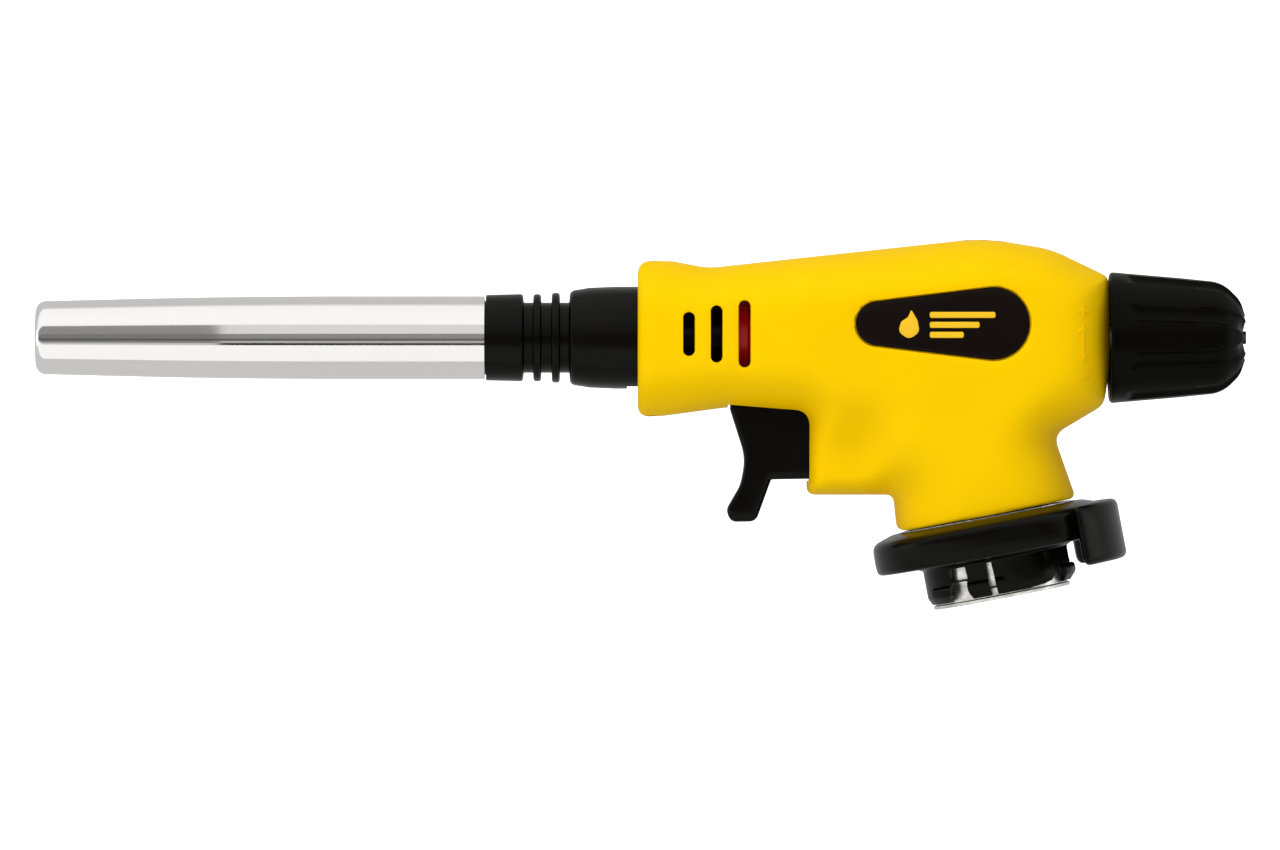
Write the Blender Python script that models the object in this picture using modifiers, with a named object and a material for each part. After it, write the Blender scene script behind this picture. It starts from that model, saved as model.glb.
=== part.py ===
"""Hand-held gas torch: piezo trigger, valve knob and a bayonet coupling for a gas cartridge.

Sizes and places are in millimetres, and MM turns them into the scene's metres. The origin is the
centre of the guide ring's underside, on the cartridge axis. +X points to the valve knob, the muzzle
is at -X, +Z is up, and -Y is the torch's left side.
"""

import math

import bmesh
import bpy
from mathutils import Matrix, Vector
from mathutils.geometry import delaunay_2d_cdt

MM = 0.001
GAP = 0.3  # clearance between pieces that touch in the real torch
SEAM = GAP / 2  # each shell half stops this far from the middle plane

# Barrel: everything turned about the X axis at this height.
BARREL_Z = 48.2
TUBE_MUZZLE_X = -212.9
TUBE_REAR_X = -112.9
TUBE_RADIUS = 9.2
TUBE_WALL = 0.7
TUBE_MOUTH_RADIUS = 5.7
SLEEVE_BORE = 6.8
SLEEVE_TAIL_RADIUS = 8.2
SLEEVE_REAR_X = -59.8
SPIGOT_RADIUS = TUBE_RADIUS - TUBE_WALL - GAP
MIXING_RADIUS = 4.0
ELECTRODE_OFFSET = 5.4  # sideways from the barrel axis, towards +Y

# Body shells.
BODY_FRONT_X = -79.2
BODY_REAR_X = 25.7
SHELL_WALL = 2.2
SEAM_LAND = 0.8
FRONT_EDGE_RADIUS = 3.0
BODY_WIDTHS = ((-79.2, 15.4), (-38.0, 18.2), (12.0, 18.2), (26.0, 17.0))  # (x, half-width)
COLUMN_HALF_WIDTH = 18.4
HOUSING_HALF_WIDTH = 11.5
SCREW_PLACES = ((-47.5, 60.7), (16.5, 60.2), (-64.5, 36.8), (-33.5, 36.8), (7.5, 23.0))  # (x, z)
SCREW_SEAT_Y = 8.5
VENT_SLOTS = ((-67.9, 9.7), (-61.8, 12.6), (-55.6, 14.8))  # (x, height)
VENT_WIDTH = 2.6
VENT_Z = 48.9
BADGE_Z = 51.2
BADGE_ENDS = ((-26.2, 4.9), (-0.7, 8.0))  # (x, radius)
BADGE_OUTSIDE_Y = 18.1
BADGE_THICKNESS = 0.8

# Valve.
BLOCK_X = (-18.0, 0.0)
BLOCK_HALF = 8.0
NEEDLE_RADIUS = 1.6
SPINDLE_RADIUS = 2.4
KNOB_FRONT_X = 25.9
KNOB_END_X = 56.0
FLUTES = 8

# Trigger and igniter.
TRIGGER_HALF_WIDTH = 6.0
TRIGGER_TRAVEL = 5.5
TRIGGER_Z = 23.5
PIEZO_X = (-31.0, -14.0)
PIEZO_HALF = 5.0
SPRING_TURNS = 5

# Coupling, in its own frame: its z is up along the cartridge axis.
COUPLING_TILT = math.radians(10.75)
RING_HEIGHT = 7.2
RING_RADIUS = 26.4
RING_BORE = 17.6
RING_SEAT_RADIUS = 19.7
RING_SEAT_HEIGHT = 4.2
TAB_RADII = (25.4, 29.0)
TAB_FRONT = 18.5
TAB_HEIGHTS = (-6.4, 8.0)
HUB_NECK_RADIUS = 16.25
HUB_LUG_RADIUS = 17.3
HUB_BOTTOM = -8.5
CUP_RADII = (13.8, 14.8)
CUP_BOTTOM = -9.6
CUP_RIM_RADIUS = 16.2
COUPLING_SCREW_CIRCLE = 8.0
STEM_RADIUS = 4.8
WINDOWS = ((-33.0, 6.4), (-5.0, 2.6), (50.0, 4.6))  # (angle from the left side, width)


def clear_scene():
    for obj in list(bpy.data.objects):
        bpy.data.objects.remove(obj)


clear_scene()
PARTS = bpy.data.collections.new("gas_torch")
CUTTERS = bpy.data.collections.new("gas_torch_cutters")
for collection in (PARTS, CUTTERS):
    bpy.context.scene.collection.children.link(collection)


def finish_of(name, colour, roughness, metallic=0.0):
    material = bpy.data.materials.new(name)
    material.use_nodes = True
    shader = material.node_tree.nodes["Principled BSDF"]
    shader.inputs["Base Color"].default_value = (*colour, 1.0)
    shader.inputs["Roughness"].default_value = roughness
    shader.inputs["Metallic"].default_value = metallic
    return material


YELLOW = finish_of("yellow_plastic", (0.95, 0.62, 0.0), 0.4)
BLACK = finish_of("black_plastic", (0.012, 0.012, 0.012), 0.45)
BADGE = finish_of("badge_black", (0.01, 0.01, 0.01), 0.25)
CHROME = finish_of("polished_steel", (0.8, 0.79, 0.77), 0.12, 1.0)
ZINC = finish_of("zinc_plate", (0.62, 0.62, 0.6), 0.35, 1.0)
BRASS = finish_of("brass", (0.75, 0.55, 0.25), 0.3, 1.0)
RED = finish_of("red_anodised", (0.6, 0.02, 0.02), 0.35, 0.6)
STEEL = finish_of("steel", (0.5, 0.5, 0.5), 0.35, 1.0)
RUBBER = finish_of("nitrile", (0.015, 0.015, 0.015), 0.7)
CERAMIC = finish_of("ceramic", (0.85, 0.83, 0.78), 0.5)
WHITE = finish_of("piezo_case", (0.8, 0.8, 0.78), 0.5)
LEAD_RED = finish_of("silicone_lead", (0.45, 0.03, 0.02), 0.55)


def empty(name, location=(0, 0, 0), rotation=(0, 0, 0)):
    obj = bpy.data.objects.new(name, None)
    obj.location = Vector(location) * MM
    obj.rotation_euler = rotation
    PARTS.objects.link(obj)
    return obj


COUPLING = empty("coupling_axis", rotation=(0, -COUPLING_TILT, 0))
BARREL = empty("barrel_axis", (0, 0, BARREL_Z), (0, math.radians(90), 0))
TRIGGER_LINE = empty("trigger_line", (0, 0, TRIGGER_Z), (0, math.radians(90), 0))


def add(name, mesh, material=None, parent=None):
    """An object from a mesh that is already in metres. Without a material it is a hidden cutter."""
    obj = bpy.data.objects.new(name, mesh)
    obj.parent = parent
    if material is None:
        CUTTERS.objects.link(obj)
        obj.hide_render = True
        obj.display_type = "WIRE"
    else:
        PARTS.objects.link(obj)
        mesh.materials.append(material)
    return obj


def mesh_of(name, form):
    bmesh.ops.recalc_face_normals(form, faces=form.faces)
    mesh = bpy.data.meshes.new(name)
    form.to_mesh(mesh)
    form.free()
    return mesh


def smooth_round(mesh):
    mesh.shade_smooth()
    mesh.set_sharp_from_angle(angle=math.radians(35))


def box(name, low, high, material=None, parent=None):
    low, high = Vector(low), Vector(high)
    form = bmesh.new()
    bmesh.ops.create_cube(form, size=MM)
    bmesh.ops.scale(form, vec=high - low, verts=form.verts)
    bmesh.ops.translate(form, vec=(low + high) / 2 * MM, verts=form.verts)
    return add(name, mesh_of(name, form), material, parent)


def boxes(name, corners):
    """One cutter mesh made of separate boxes, each given by its low and high corner."""
    form = bmesh.new()
    for low, high in corners:
        low, high = Vector(low), Vector(high)
        size = Matrix.Diagonal(((high - low) * MM).to_4d())
        size[3][3] = 1
        bmesh.ops.create_cube(form, size=1, matrix=Matrix.Translation((low + high) / 2 * MM) @ size)
    return add(name, mesh_of(name, form))


def rods(name, ends, radius, sides=16, material=None, parent=None):
    """Straight cylinders in one mesh, each between two points."""
    form = bmesh.new()
    for start, end in ends:
        start, end = Vector(start), Vector(end)
        turn = (end - start).to_track_quat("Z", "Y").to_matrix().to_4x4()
        bmesh.ops.create_cone(
            form,
            cap_ends=True,
            segments=sides,
            radius1=radius * MM,
            radius2=radius * MM,
            depth=(end - start).length * MM,
            matrix=Matrix.Translation((start + end) / 2 * MM) @ turn,
        )
    mesh = mesh_of(name, form)
    smooth_round(mesh)
    return add(name, mesh, material, parent)


def rod(name, start, end, radius, sides=16, material=None, parent=None):
    return rods(name, [(start, end)], radius, sides, material, parent)


def turned(name, profile, material=None, parent=BARREL, sides=32, offset=(0, 0)):
    """A turned piece from (position along the axis, radius) points, in either order round its section."""
    points = [(radius, place) for place, radius in profile]
    area = sum(a[0] * b[1] - b[0] * a[1] for a, b in zip(points, points[1:] + points[:1]))
    if area > 0:
        points.reverse()
    solid = points[0][0] == 0 and points[-1][0] == 0
    count = len(points)
    mesh = bpy.data.meshes.new(name)
    edges = [(i, (i + 1) % count) for i in range(count - 1 if solid else count)]
    mesh.from_pydata([(r * MM, 0, z * MM) for r, z in points], edges, [])
    obj = add(name, mesh, material, parent)
    obj.location = (offset[0] * MM, offset[1] * MM, 0)
    screw = obj.modifiers.new("Turn", "SCREW")
    screw.steps = sides
    screw.render_steps = sides
    screw.use_merge_vertices = True
    screw.merge_threshold = 1e-6
    screw.use_smooth_shade = True
    return obj


def tube_profile(start, end, outer, inner):
    return [(end, outer), (start, outer), (start, inner), (end, inner)]


def arc(centre, radius, start, end, steps):
    """Points on an arc, angles in degrees."""
    angles = [math.radians(start + (end - start) * i / steps) for i in range(steps + 1)]
    return [(centre[0] + radius * math.cos(a), centre[1] + radius * math.sin(a)) for a in angles]


def combine(target, operation, *others):
    for other in others:
        change = target.modifiers.new(f"{operation} {other.name}", "BOOLEAN")
        change.operation = operation
        change.solver = "EXACT"
        change.object = other
    return target


def cut(target, *others):
    return combine(target, "DIFFERENCE", *others)


def join(target, *others):
    return combine(target, "UNION", *others)


# Outlines in the XZ plane. Each corner is (x, z, fillet radius), counter-clockwise with +X to the right.


def rounded_outline(corners, inset=0.0, arc_steps=3, spacing=5.0):
    """The outline moved inwards by inset, with its corners rounded and its long edges divided."""
    count = len(corners)
    places = [Vector(corner[:2]) for corner in corners]
    sides = [(places[(i + 1) % count] - places[i]).normalized() for i in range(count)]
    sharp, radii = [], []
    for i in range(count):
        before, after = sides[i - 1], sides[i]
        bend = before.cross(after)
        inward = Vector((-before.y - after.y, before.x + after.x)).normalized()
        reach = inset / max(inward.dot(Vector((-after.y, after.x))), 0.2)
        sharp.append(places[i] + inward * reach)
        radii.append(max(corners[i][2] - inset, 0.3) if bend > 0 else corners[i][2] + inset)
    points = []
    for i in range(count):
        before, after = sides[i - 1], sides[i]
        turn = math.atan2(before.cross(after), before.dot(after))
        room = 0.48 * min((sharp[i] - sharp[i - 1]).length, (sharp[(i + 1) % count] - sharp[i]).length)
        tangent = min(radii[i] * math.tan(abs(turn) / 2), room)
        start = sharp[i] - before * tangent
        end = sharp[i] + after * tangent
        steps = max(1, round(arc_steps * abs(turn) / math.radians(60)))
        for step in range(steps + 1):
            t = step / steps
            points.append((1 - t) ** 2 * start + 2 * t * (1 - t) * sharp[i] + t**2 * end)
    divided = []
    for i, point in enumerate(points):
        following = points[(i + 1) % len(points)]
        pieces = max(1, math.ceil((following - point).length / spacing))
        divided += [point.lerp(following, k / pieces) for k in range(pieces)]
    return divided


def prism(name, outline, low_y, high_y, material=None, parent=None):
    form = bmesh.new()
    loop = [form.verts.new((x * MM, low_y * MM, z * MM)) for x, z in outline]
    face = form.faces.new(loop)
    extruded = bmesh.ops.extrude_face_region(form, geom=[face])
    moved = [item for item in extruded["geom"] if isinstance(item, bmesh.types.BMVert)]
    bmesh.ops.translate(form, vec=(0, (high_y - low_y) * MM, 0), verts=moved)
    return add(name, mesh_of(name, form), material, parent)


def capsule(x, z, width, height, steps=6):
    """A slot with round ends, standing along Z."""
    radius = width / 2
    top = arc((x, z + height / 2 - radius), radius, 0, 180, steps)
    bottom = arc((x, z - height / 2 + radius), radius, 180, 360, steps)
    return top + bottom


def teardrop(ends, z, grow=0.0, steps=10):
    """The outline of two circles on one line and their common tangents."""
    (x_small, r_small), (x_large, r_large) = ends
    lean = math.degrees(math.asin((r_large - r_small) / (x_large - x_small)))
    large = arc((x_large, z), r_large + grow, -90 - lean, 90 + lean, steps)
    small = arc((x_small, z), r_small + grow, 90 + lean, 270 - lean, steps)
    return large + small


# Body.

BODY_CORNERS = (
    (BODY_FRONT_X, 30.6, 3.0),
    (-73.5, 30.8, 6.0),
    (-68.0, 31.9, 6.0),
    (-41.7, 31.8, 3.0),
    (-41.7, 13.3, 2.0),
    (-22.5, 13.3, 2.0),
    (-21.6, 5.06, 2.2),
    (18.1, 12.7, 1.8),
    (13.2, 26.6, 3.5),
    (24.3, 33.2, 4.0),
    (BODY_REAR_X, 42.0, 20.0),
    (BODY_REAR_X, 56.0, 20.0),
    (24.9, 62.6, 3.0),
    (13.0, 68.6, 20.0),
    (-3.0, 70.2, 45.0),
    (-63.5, 63.7, 12.0),
    (-71.5, 65.2, 10.0),
    (BODY_FRONT_X, 65.3, 3.2),
)
FOOT_FRONT, FOOT_REAR = 6, 7  # which corners stand on the coupling
EXTENSION = 20.0


def side_corners():
    """The body outline with its front and foot moved away, so that only its long sides are rounded."""
    corners = [[x - EXTENSION * (x == BODY_FRONT_X), z, radius] for x, z, radius in BODY_CORNERS]
    for foot, above in ((FOOT_FRONT, FOOT_FRONT - 1), (FOOT_REAR, FOOT_REAR + 1)):
        start, end = Vector(corners[above][:2]), Vector(corners[foot][:2])
        corners[foot][:2] = end + (end - start).normalized() * EXTENSION
    return corners


SIDE_OUTLINE = rounded_outline(side_corners())


def distance_to(loop, point):
    nearest = math.inf
    for i, start in enumerate(loop):
        along = loop[(i + 1) % len(loop)] - start
        t = min(max((point - start).dot(along) / along.length_squared, 0), 1)
        nearest = min(nearest, (point - start - along * t).length)
    return nearest


def is_inside(loop, point):
    crossings = 0
    for i, a in enumerate(loop):
        b = loop[(i + 1) % len(loop)]
        if (a.y > point.y) != (b.y > point.y):
            crossings += point.x < a.x + (point.y - a.y) * (b.x - a.x) / (b.y - a.y)
    return crossings % 2 == 1


def ease(value, start, end):
    t = min(max((value - start) / (end - start), 0), 1)
    return t * t * (3 - 2 * t)


def mix(a, b, t):
    return a + (b - a) * t


def barrel_width(x):
    width = BODY_WIDTHS[0][1]
    for (x0, w0), (x1, w1) in zip(BODY_WIDTHS, BODY_WIDTHS[1:]):
        if x >= x0:
            width = mix(w0, w1, ease(x, x0, x1))
    return width


def body_height(point, inset):
    """How far the body's surface stands from the middle plane above a point of the XZ plane."""
    x, z = point
    at_column = ease(x, -30, -19)
    at_barrel = ease(z, 21, 37)
    width = mix(mix(HOUSING_HALF_WIDTH, COLUMN_HALF_WIDTH, at_column), barrel_width(x), at_barrel)
    edge = mix(mix(3.5, 15.0, at_column), 10.0, at_barrel)
    depth = max(distance_to(SIDE_OUTLINE, point) - inset, 0)
    along = min(depth / (edge - inset / 2), 1)
    height = SEAM_LAND + (width - inset - SEAM_LAND) * math.sqrt(1 - (1 - along) ** 2)
    front_edge = max(FRONT_EDGE_RADIUS - inset, 0.6)
    behind_front = front_edge - min(max(x - BODY_FRONT_X - inset, 0), front_edge)
    rounded = front_edge - math.sqrt(front_edge**2 - behind_front**2)
    return max(height - rounded, SEAM_LAND)


def inner_points(loop, coarse):
    """Points inside the outline: rows close to the edge, where the surface bends most, then a grid."""
    found = []

    def keep(point, clear, room):
        if is_inside(loop, point) and distance_to(loop, point) > clear:
            if all((point - other).length > room * coarse for other in found):
                found.append(point)

    count = len(loop)
    for offset, room in ((0.4, 2.4), (1.8, 3.2), (4.4, 4.2)):
        for i in range(count):
            along = (loop[(i + 1) % count] - loop[i - 1]).normalized()
            keep(loop[i] + Vector((-along.y, along.x)) * offset, 0.9 * offset, room)
    step = 7.0
    for row in range(11):
        for column in range(16):
            keep(Vector((-80 + (column + row % 2 / 2) * step, 5 + row * step * 0.9)), 5.5, 0.6 * step)
    return found


def half_body(name, side, inset, base, material=None):
    """One half of the body as a solid, from the height of its surface above the middle plane."""
    loop = rounded_outline(BODY_CORNERS, inset)
    flat = loop + inner_points(loop, 1.5 if inset else 1.0)
    places, _, triangles, sources, _, _ = delaunay_2d_cdt(flat, [], [list(range(len(loop)))], 1, 1e-5)
    where = {source: i for i, given in enumerate(sources) for source in given}
    form = bmesh.new()
    top = [form.verts.new((p.x * MM, side * body_height(p, inset) * MM, p.y * MM)) for p in places]
    for corners in triangles:
        form.faces.new([top[i] for i in corners])
    foot = [form.verts.new((p.x * MM, side * base * MM, p.y * MM)) for p in loop]
    for i in range(len(loop)):
        j = (i + 1) % len(loop)
        form.faces.new((top[where[i]], top[where[j]], foot[j], foot[i]))
    form.faces.new(foot)
    mesh = mesh_of(name, form)
    smooth_round(mesh)
    return add(name, mesh, material)


def body_ribs():
    """Webs that hold the sleeve, the valve and the igniter. The cavity leaves them standing."""
    depth = 30
    return boxes(
        "ribs",
        [
            ((-71.6, -depth, 20), (-70.0, depth, 80)),
            ((-44.6, -depth, 30), (-43.2, depth, 80)),
            ((2.0, -depth, 30), (3.6, depth, 80)),
            ((-26.2, -depth, 0), (-24.6, depth, 34)),
        ],
    )


def body_openings():
    """What is cut from both shells after the cavity."""
    cutters = [
        rod("sleeve_bore", (-82, 0, BARREL_Z), (-76, 0, BARREL_Z), 11.6, 32),
        rod("tail_bore", (-73, 0, BARREL_Z), (-69, 0, BARREL_Z), SLEEVE_TAIL_RADIUS + 0.5, 24),
        rod("neck_bore", (-46, 0, BARREL_Z), (-42, 0, BARREL_Z), 5.4, 20),
        rod("gland_bore", (1, 0, BARREL_Z), (5, 0, BARREL_Z), 6.4, 20),
        rod("spindle_bore", (20, 0, BARREL_Z), (30, 0, BARREL_Z), 4.0, 20),
        rod("stem_bore", (0, 0, 5), (0, 0, 11.4), 10.4, 28, parent=COUPLING),
        box("lead_notch", (-46, 7.5, 42), (-42, 13.5, 49)),
        box("trigger_slot", (-59.2, -6.4, 16.4), (-38.8, 6.4, 35.2)),
        box("trigger_well", (-38.9, -7.7, 16.2), (-30.6, 7.7, 32.5)),
        box("piezo_seat", (-28, -PIEZO_HALF - GAP, 18.2), (-22, PIEZO_HALF + GAP, 28.8)),
    ]
    for number, (x, height) in enumerate(VENT_SLOTS, 1):
        cutters.append(prism(f"vent_{number}", capsule(x, VENT_Z, VENT_WIDTH, height), -25, 25))
    return cutters


def body_shell(name, side, shared):
    shell = half_body(name, side, 0.0, SEAM, YELLOW)
    cavity = half_body(name + "_cavity", side, SHELL_WALL, -1.0)
    posts = [((x, side * -3, z), (x, side * 30, z)) for x, z in SCREW_PLACES]
    cut(cavity, shared["ribs"], rods(name + "_posts", posts, 4.0, 16))
    cut(shell, cavity, *shared["openings"])
    recess = teardrop(BADGE_ENDS, BADGE_Z, GAP)
    floor = BADGE_OUTSIDE_Y - BADGE_THICKNESS - GAP
    cut(shell, prism(name + "_recess", recess, *sorted((side * floor, side * 25))))
    if side > 0:
        holes = [((x, -1, z), (x, 12, z)) for x, z in SCREW_PLACES]
        heads = [((x, SCREW_SEAT_Y, z), (x, 30, z)) for x, z in SCREW_PLACES]
        cut(shell, rods("screw_clearance", holes, 1.6, 12), rods("screw_counterbores", heads, 2.9, 16))
    else:
        pilots = [((x, 1, z), (x, -8.1, z)) for x, z in SCREW_PLACES]
        cut(shell, rods("screw_pilots", pilots, 1.5, 12))
    return shell


def shell_screw(number, x, z):
    seat, head, tip = SCREW_SEAT_Y + GAP, 2.0, -7.6
    profile = [
        (seat + head, 0),
        (seat + head, 2.0),
        (seat + head - 0.5, 2.6),
        (seat, 2.6),
        (seat, 1.2),
        (tip + 1, 1.2),
        (tip, 0.6),
        (tip, 0),
    ]
    screw = turned(f"shell_screw_{number}", profile, STEEL, None, 8)
    screw.rotation_euler = (math.radians(-90), 0, 0)
    screw.location = (x * MM, 0, z * MM)
    slot_low = seat + head - 0.7
    cut(screw, box(f"screw_slot_{number}", (x - 1.6, slot_low, z - 0.3), (x + 1.6, slot_low + 3, z + 0.3)))


def make_body():
    shared = {"ribs": body_ribs(), "openings": body_openings()}
    body_shell("body_shell_left", -1, shared)
    body_shell("body_shell_right", 1, shared)
    for number, (x, z) in enumerate(SCREW_PLACES, 1):
        shell_screw(number, x, z)
    for name, side in (("badge_left", -1), ("badge_right", 1)):
        faces = side * (BADGE_OUTSIDE_Y - BADGE_THICKNESS), side * BADGE_OUTSIDE_Y
        prism(name, teardrop(BADGE_ENDS, BADGE_Z), *sorted(faces), BADGE)


# Flame tube, its holder and the burner inside it.


def make_flame_tube():
    """A thin steel tube that narrows to a mouth rolled inwards."""
    outer = [
        (TUBE_REAR_X - GAP, TUBE_RADIUS),
        (-154, TUBE_RADIUS),
        (-176, 8.95),
        (-198.7, 8.45),
        (TUBE_MUZZLE_X + 2.4, 8.15),
    ]
    lip = arc((TUBE_MUZZLE_X + 2.2, 5.95), 2.2, 90, 180, 3)
    mouth = [(TUBE_MUZZLE_X + 0.5, TUBE_MOUTH_RADIUS), (TUBE_MUZZLE_X + 1.4, TUBE_MOUTH_RADIUS)]
    inside = arc((TUBE_MUZZLE_X + 2.2, 5.95), 1.4, 165, 95, 2)
    inner = [(place, radius - TUBE_WALL) for place, radius in reversed(outer)]
    turned("flame_tube", outer + lip + mouth + inside + inner, CHROME, sides=28)


def make_sleeve():
    """The black holder: a spigot inside the tube, a neck with two ribs, a stepped rear ring and a tail.

    The tail lies behind the front vent slots. It is open where the lead comes in and where a screw
    boss of the shells keys it.
    """
    outer = [
        (-128.0, SPIGOT_RADIUS - 0.4),
        (-127.4, SPIGOT_RADIUS),
        (TUBE_REAR_X, SPIGOT_RADIUS),
        (TUBE_REAR_X, 9.5),
        (-106.0, 9.7),
        (-105.0, 9.3),
        (-104.6, 7.8),
    ]
    for middle, radius in ((-101.6, 9.7), (-97.3, 10.0)):
        outer += [(middle - 0.9, 7.8), (middle - 0.5, radius), (middle + 0.5, radius), (middle + 0.9, 7.8)]
    outer += [
        (-94.6, 7.8),
        (-94.2, 10.2),
        (-92.0, 10.9),
        (-86.0, 11.3),
        (-76.7, 11.3),
        (-76.7, 12.6),
        (-73.9, 12.6),
        (-73.9, 9.0),
        (-72.2, 9.0),
        (-72.2, SLEEVE_TAIL_RADIUS),
        (SLEEVE_REAR_X, SLEEVE_TAIL_RADIUS),
    ]
    inner = [(SLEEVE_REAR_X, SLEEVE_BORE), (-128.0, SLEEVE_BORE)]
    sleeve = turned("tube_sleeve", outer + inner, BLACK, sides=28)
    cut(sleeve, rod("pin_hole", (-80.4, 0, 33), (-80.4, 0, 39.6), 1.3, 12))
    cut(sleeve, box("lead_slot", (-69.2, 2.0, 46.4), (-59.0, 12.0, 49.8)))
    cut(sleeve, box("boss_key", (-69.2, -9.0, 38.0), (-59.0, 9.0, 42.0)))
    rod("sleeve_pin", (-80.4, 0, 37.3), (-80.4, 0, 39.3), 0.95, 12, STEEL)


def make_burner():
    mixing = [
        (-129.0, MIXING_RADIUS),
        (-66.0, MIXING_RADIUS),
        (-61.5, 5.6),
        (-59.3, 6.4),
        (-59.3, 5.8),
        (-61.5, 5.0),
        (-66.0, 3.3),
        (-129.0, 3.3),
    ]
    turned("mixing_tube", mixing, BRASS, sides=16)
    head = [
        (-136.0, 0),
        (-136.0, SPIGOT_RADIUS),
        (-131.0, SPIGOT_RADIUS),
        (-131.0, 4.9),
        (-127.0, 4.9),
        (-127.0, MIXING_RADIUS + GAP),
        (-133.0, MIXING_RADIUS + GAP),
        (-133.0, 0),
    ]
    burner = turned("burner_head", head, BRASS, sides=20)
    ports = []
    for ring_radius, count in ((2.1, 5), (6.4, 8)):
        for k in range(count):
            angle = math.radians(360 * k / count + 17)
            y, z = ring_radius * math.cos(angle), BARREL_Z + ring_radius * math.sin(angle)
            ports.append(((-137, y, z), (-130, y, z)))
    cut(burner, rods("flame_ports", ports, 0.75, 6))
    port_ends = [(x, ELECTRODE_OFFSET, BARREL_Z) for x in (-138, -126)]
    cut(burner, rod("electrode_port", *port_ends, 0.85, 10))
    wire = [(-141.0, 0), (-141.0, 0.4), (-68.0, 0.4), (-68.0, 0)]
    turned("electrode_wire", wire, STEEL, sides=8, offset=(0, ELECTRODE_OFFSET))
    insulator = tube_profile(-125.5, -70.0, 1.15, 0.7)
    turned("electrode_insulator", insulator, CERAMIC, sides=12, offset=(0, ELECTRODE_OFFSET))


# Valve.


def make_valve():
    block = box("valve_block", (BLOCK_X[0], -BLOCK_HALF, 40.4), (BLOCK_X[1], BLOCK_HALF, 56.0), BRASS)
    join(block, rod("block_front_neck", (-46, 0, BARREL_Z), (-15, 0, BARREL_Z), 5.0, 20))
    join(block, rod("block_rear_neck", (-3, 0, BARREL_Z), (14, 0, BARREL_Z), 6.0, 24))
    passage = [
        (15.0, 0),
        (15.0, 4.5),
        (9.5, 4.5),
        (9.5, SPINDLE_RADIUS + GAP),
        (0.0, SPINDLE_RADIUS + GAP),
        (0.0, NEEDLE_RADIUS + GAP),
        (-15.0, NEEDLE_RADIUS + GAP),
        (-17.0, 0.8),
        (-38.0, 0.8),
        (-38.0, 3.3),
        (-47.0, 3.3),
        (-47.0, 0),
    ]
    cut(block, turned("gas_passage", passage, sides=16))
    inlet = [(48.5, 0), (48.5, 0.9), (44.3, 0.9), (44.3, 3.3), (35.0, 3.3), (35.0, 0)]
    cut(block, turned("gas_inlet", inlet, parent=COUPLING, sides=16))
    turned("mixer_bush", bush_profile(), RED, sides=20)
    jet = [(-62.0, 1.3), (-60.0, 3.0), (-38.6, 3.0), (-38.6, 0.8), (-60.6, 0.8), (-62.0, 0.5)]
    turned("gas_jet", jet, BRASS, sides=16)
    needle = [(-16.6, 0), (-14.6, NEEDLE_RADIUS), (-0.4, NEEDLE_RADIUS), (-0.4, 0)]
    turned("valve_needle", needle, STEEL, sides=12)
    spindle = [(0.4, 0), (0.4, SPINDLE_RADIUS), (45.0, SPINDLE_RADIUS), (45.6, 1.8), (45.6, 0)]
    turned("valve_spindle", spindle, STEEL, sides=16)
    nut = rod("gland_nut", (8.0, 0, BARREL_Z), (19.4, 0, BARREL_Z), 7.6, 6, BRASS)
    clear = SPINDLE_RADIUS + GAP
    bore = [(7.0, 0), (7.0, 6.3), (14.3, 6.3), (14.3, clear), (21.0, clear), (21.0, 0)]
    cut(nut, turned("gland_nut_bore", bore, sides=20))
    turned("gland_o_ring", arc((12.0, 3.5), 0.7, 0, 300, 5), RUBBER, sides=16)


def bush_profile():
    """The red collar round the jet, with two turned grooves."""
    outer = [(-46.4, 3.4), (-46.4, 7.2), (-47.2, 8.0)]
    for middle in (-50.0, -54.0):
        outer += [(middle + 0.7, 8.0), (middle, 7.2), (middle - 0.7, 8.0)]
    return outer + [(-57.0, 8.0), (-57.6, 7.4), (-57.6, 3.4)]


def make_knob():
    """A domed knob with flutes that run from behind its rim over the dome."""
    outer = [
        (KNOB_FRONT_X, 13.0),
        (KNOB_FRONT_X + 0.5, 14.1),
        (KNOB_FRONT_X + 1.6, 14.5),
        (32.4, 14.1),
        (41.3, 13.2),
        (47.0, 12.5),
        (51.1, 10.8),
        (54.7, 6.7),
        (55.6, 4.0),
        (KNOB_END_X, 2.0),
        (KNOB_END_X, 0),
    ]
    inner = [
        (46.0, 0),
        (46.0, SPINDLE_RADIUS + GAP),
        (28.0, SPINDLE_RADIUS + GAP),
        (28.0, 5.0),
        (40.0, 5.4),
        (40.0, 10.6),
        (KNOB_FRONT_X, 11.6),
    ]
    knob = turned("gas_knob", outer[::-1] + inner[::-1], BLACK, sides=24)
    grooves = []
    route = ((30.0, 15.6), (47.5, 13.9), (52.6, 10.9), (56.6, 5.4))
    for k in range(FLUTES):
        angle = math.radians(360 * (k + 0.5) / FLUTES)
        points = [(x, r * math.cos(angle), BARREL_Z + r * math.sin(angle)) for x, r in route]
        grooves.append(list(zip(points, points[1:])))
    for number in range(len(route) - 1):
        cut(knob, rods(f"flutes_{number}", [groove[number] for groove in grooves], 2.3, 8))


# Trigger and igniter.

TRIGGER_CORNERS = (
    (-60.0, 7.5, 1.8),
    (-53.2, 7.7, 1.8),
    (-50.0, 16.7, 1.5),
    (-37.8, 16.9, 0.5),
    (-37.8, 32.2, 0.5),
    (-42.7, 32.2, 0.5),
    (-42.7, 34.6, 0.5),
    (-58.6, 34.6, 0.5),
    (-58.6, 32.2, 1.0),
    (-54.8, 22.3, 16.0),
)


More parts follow.
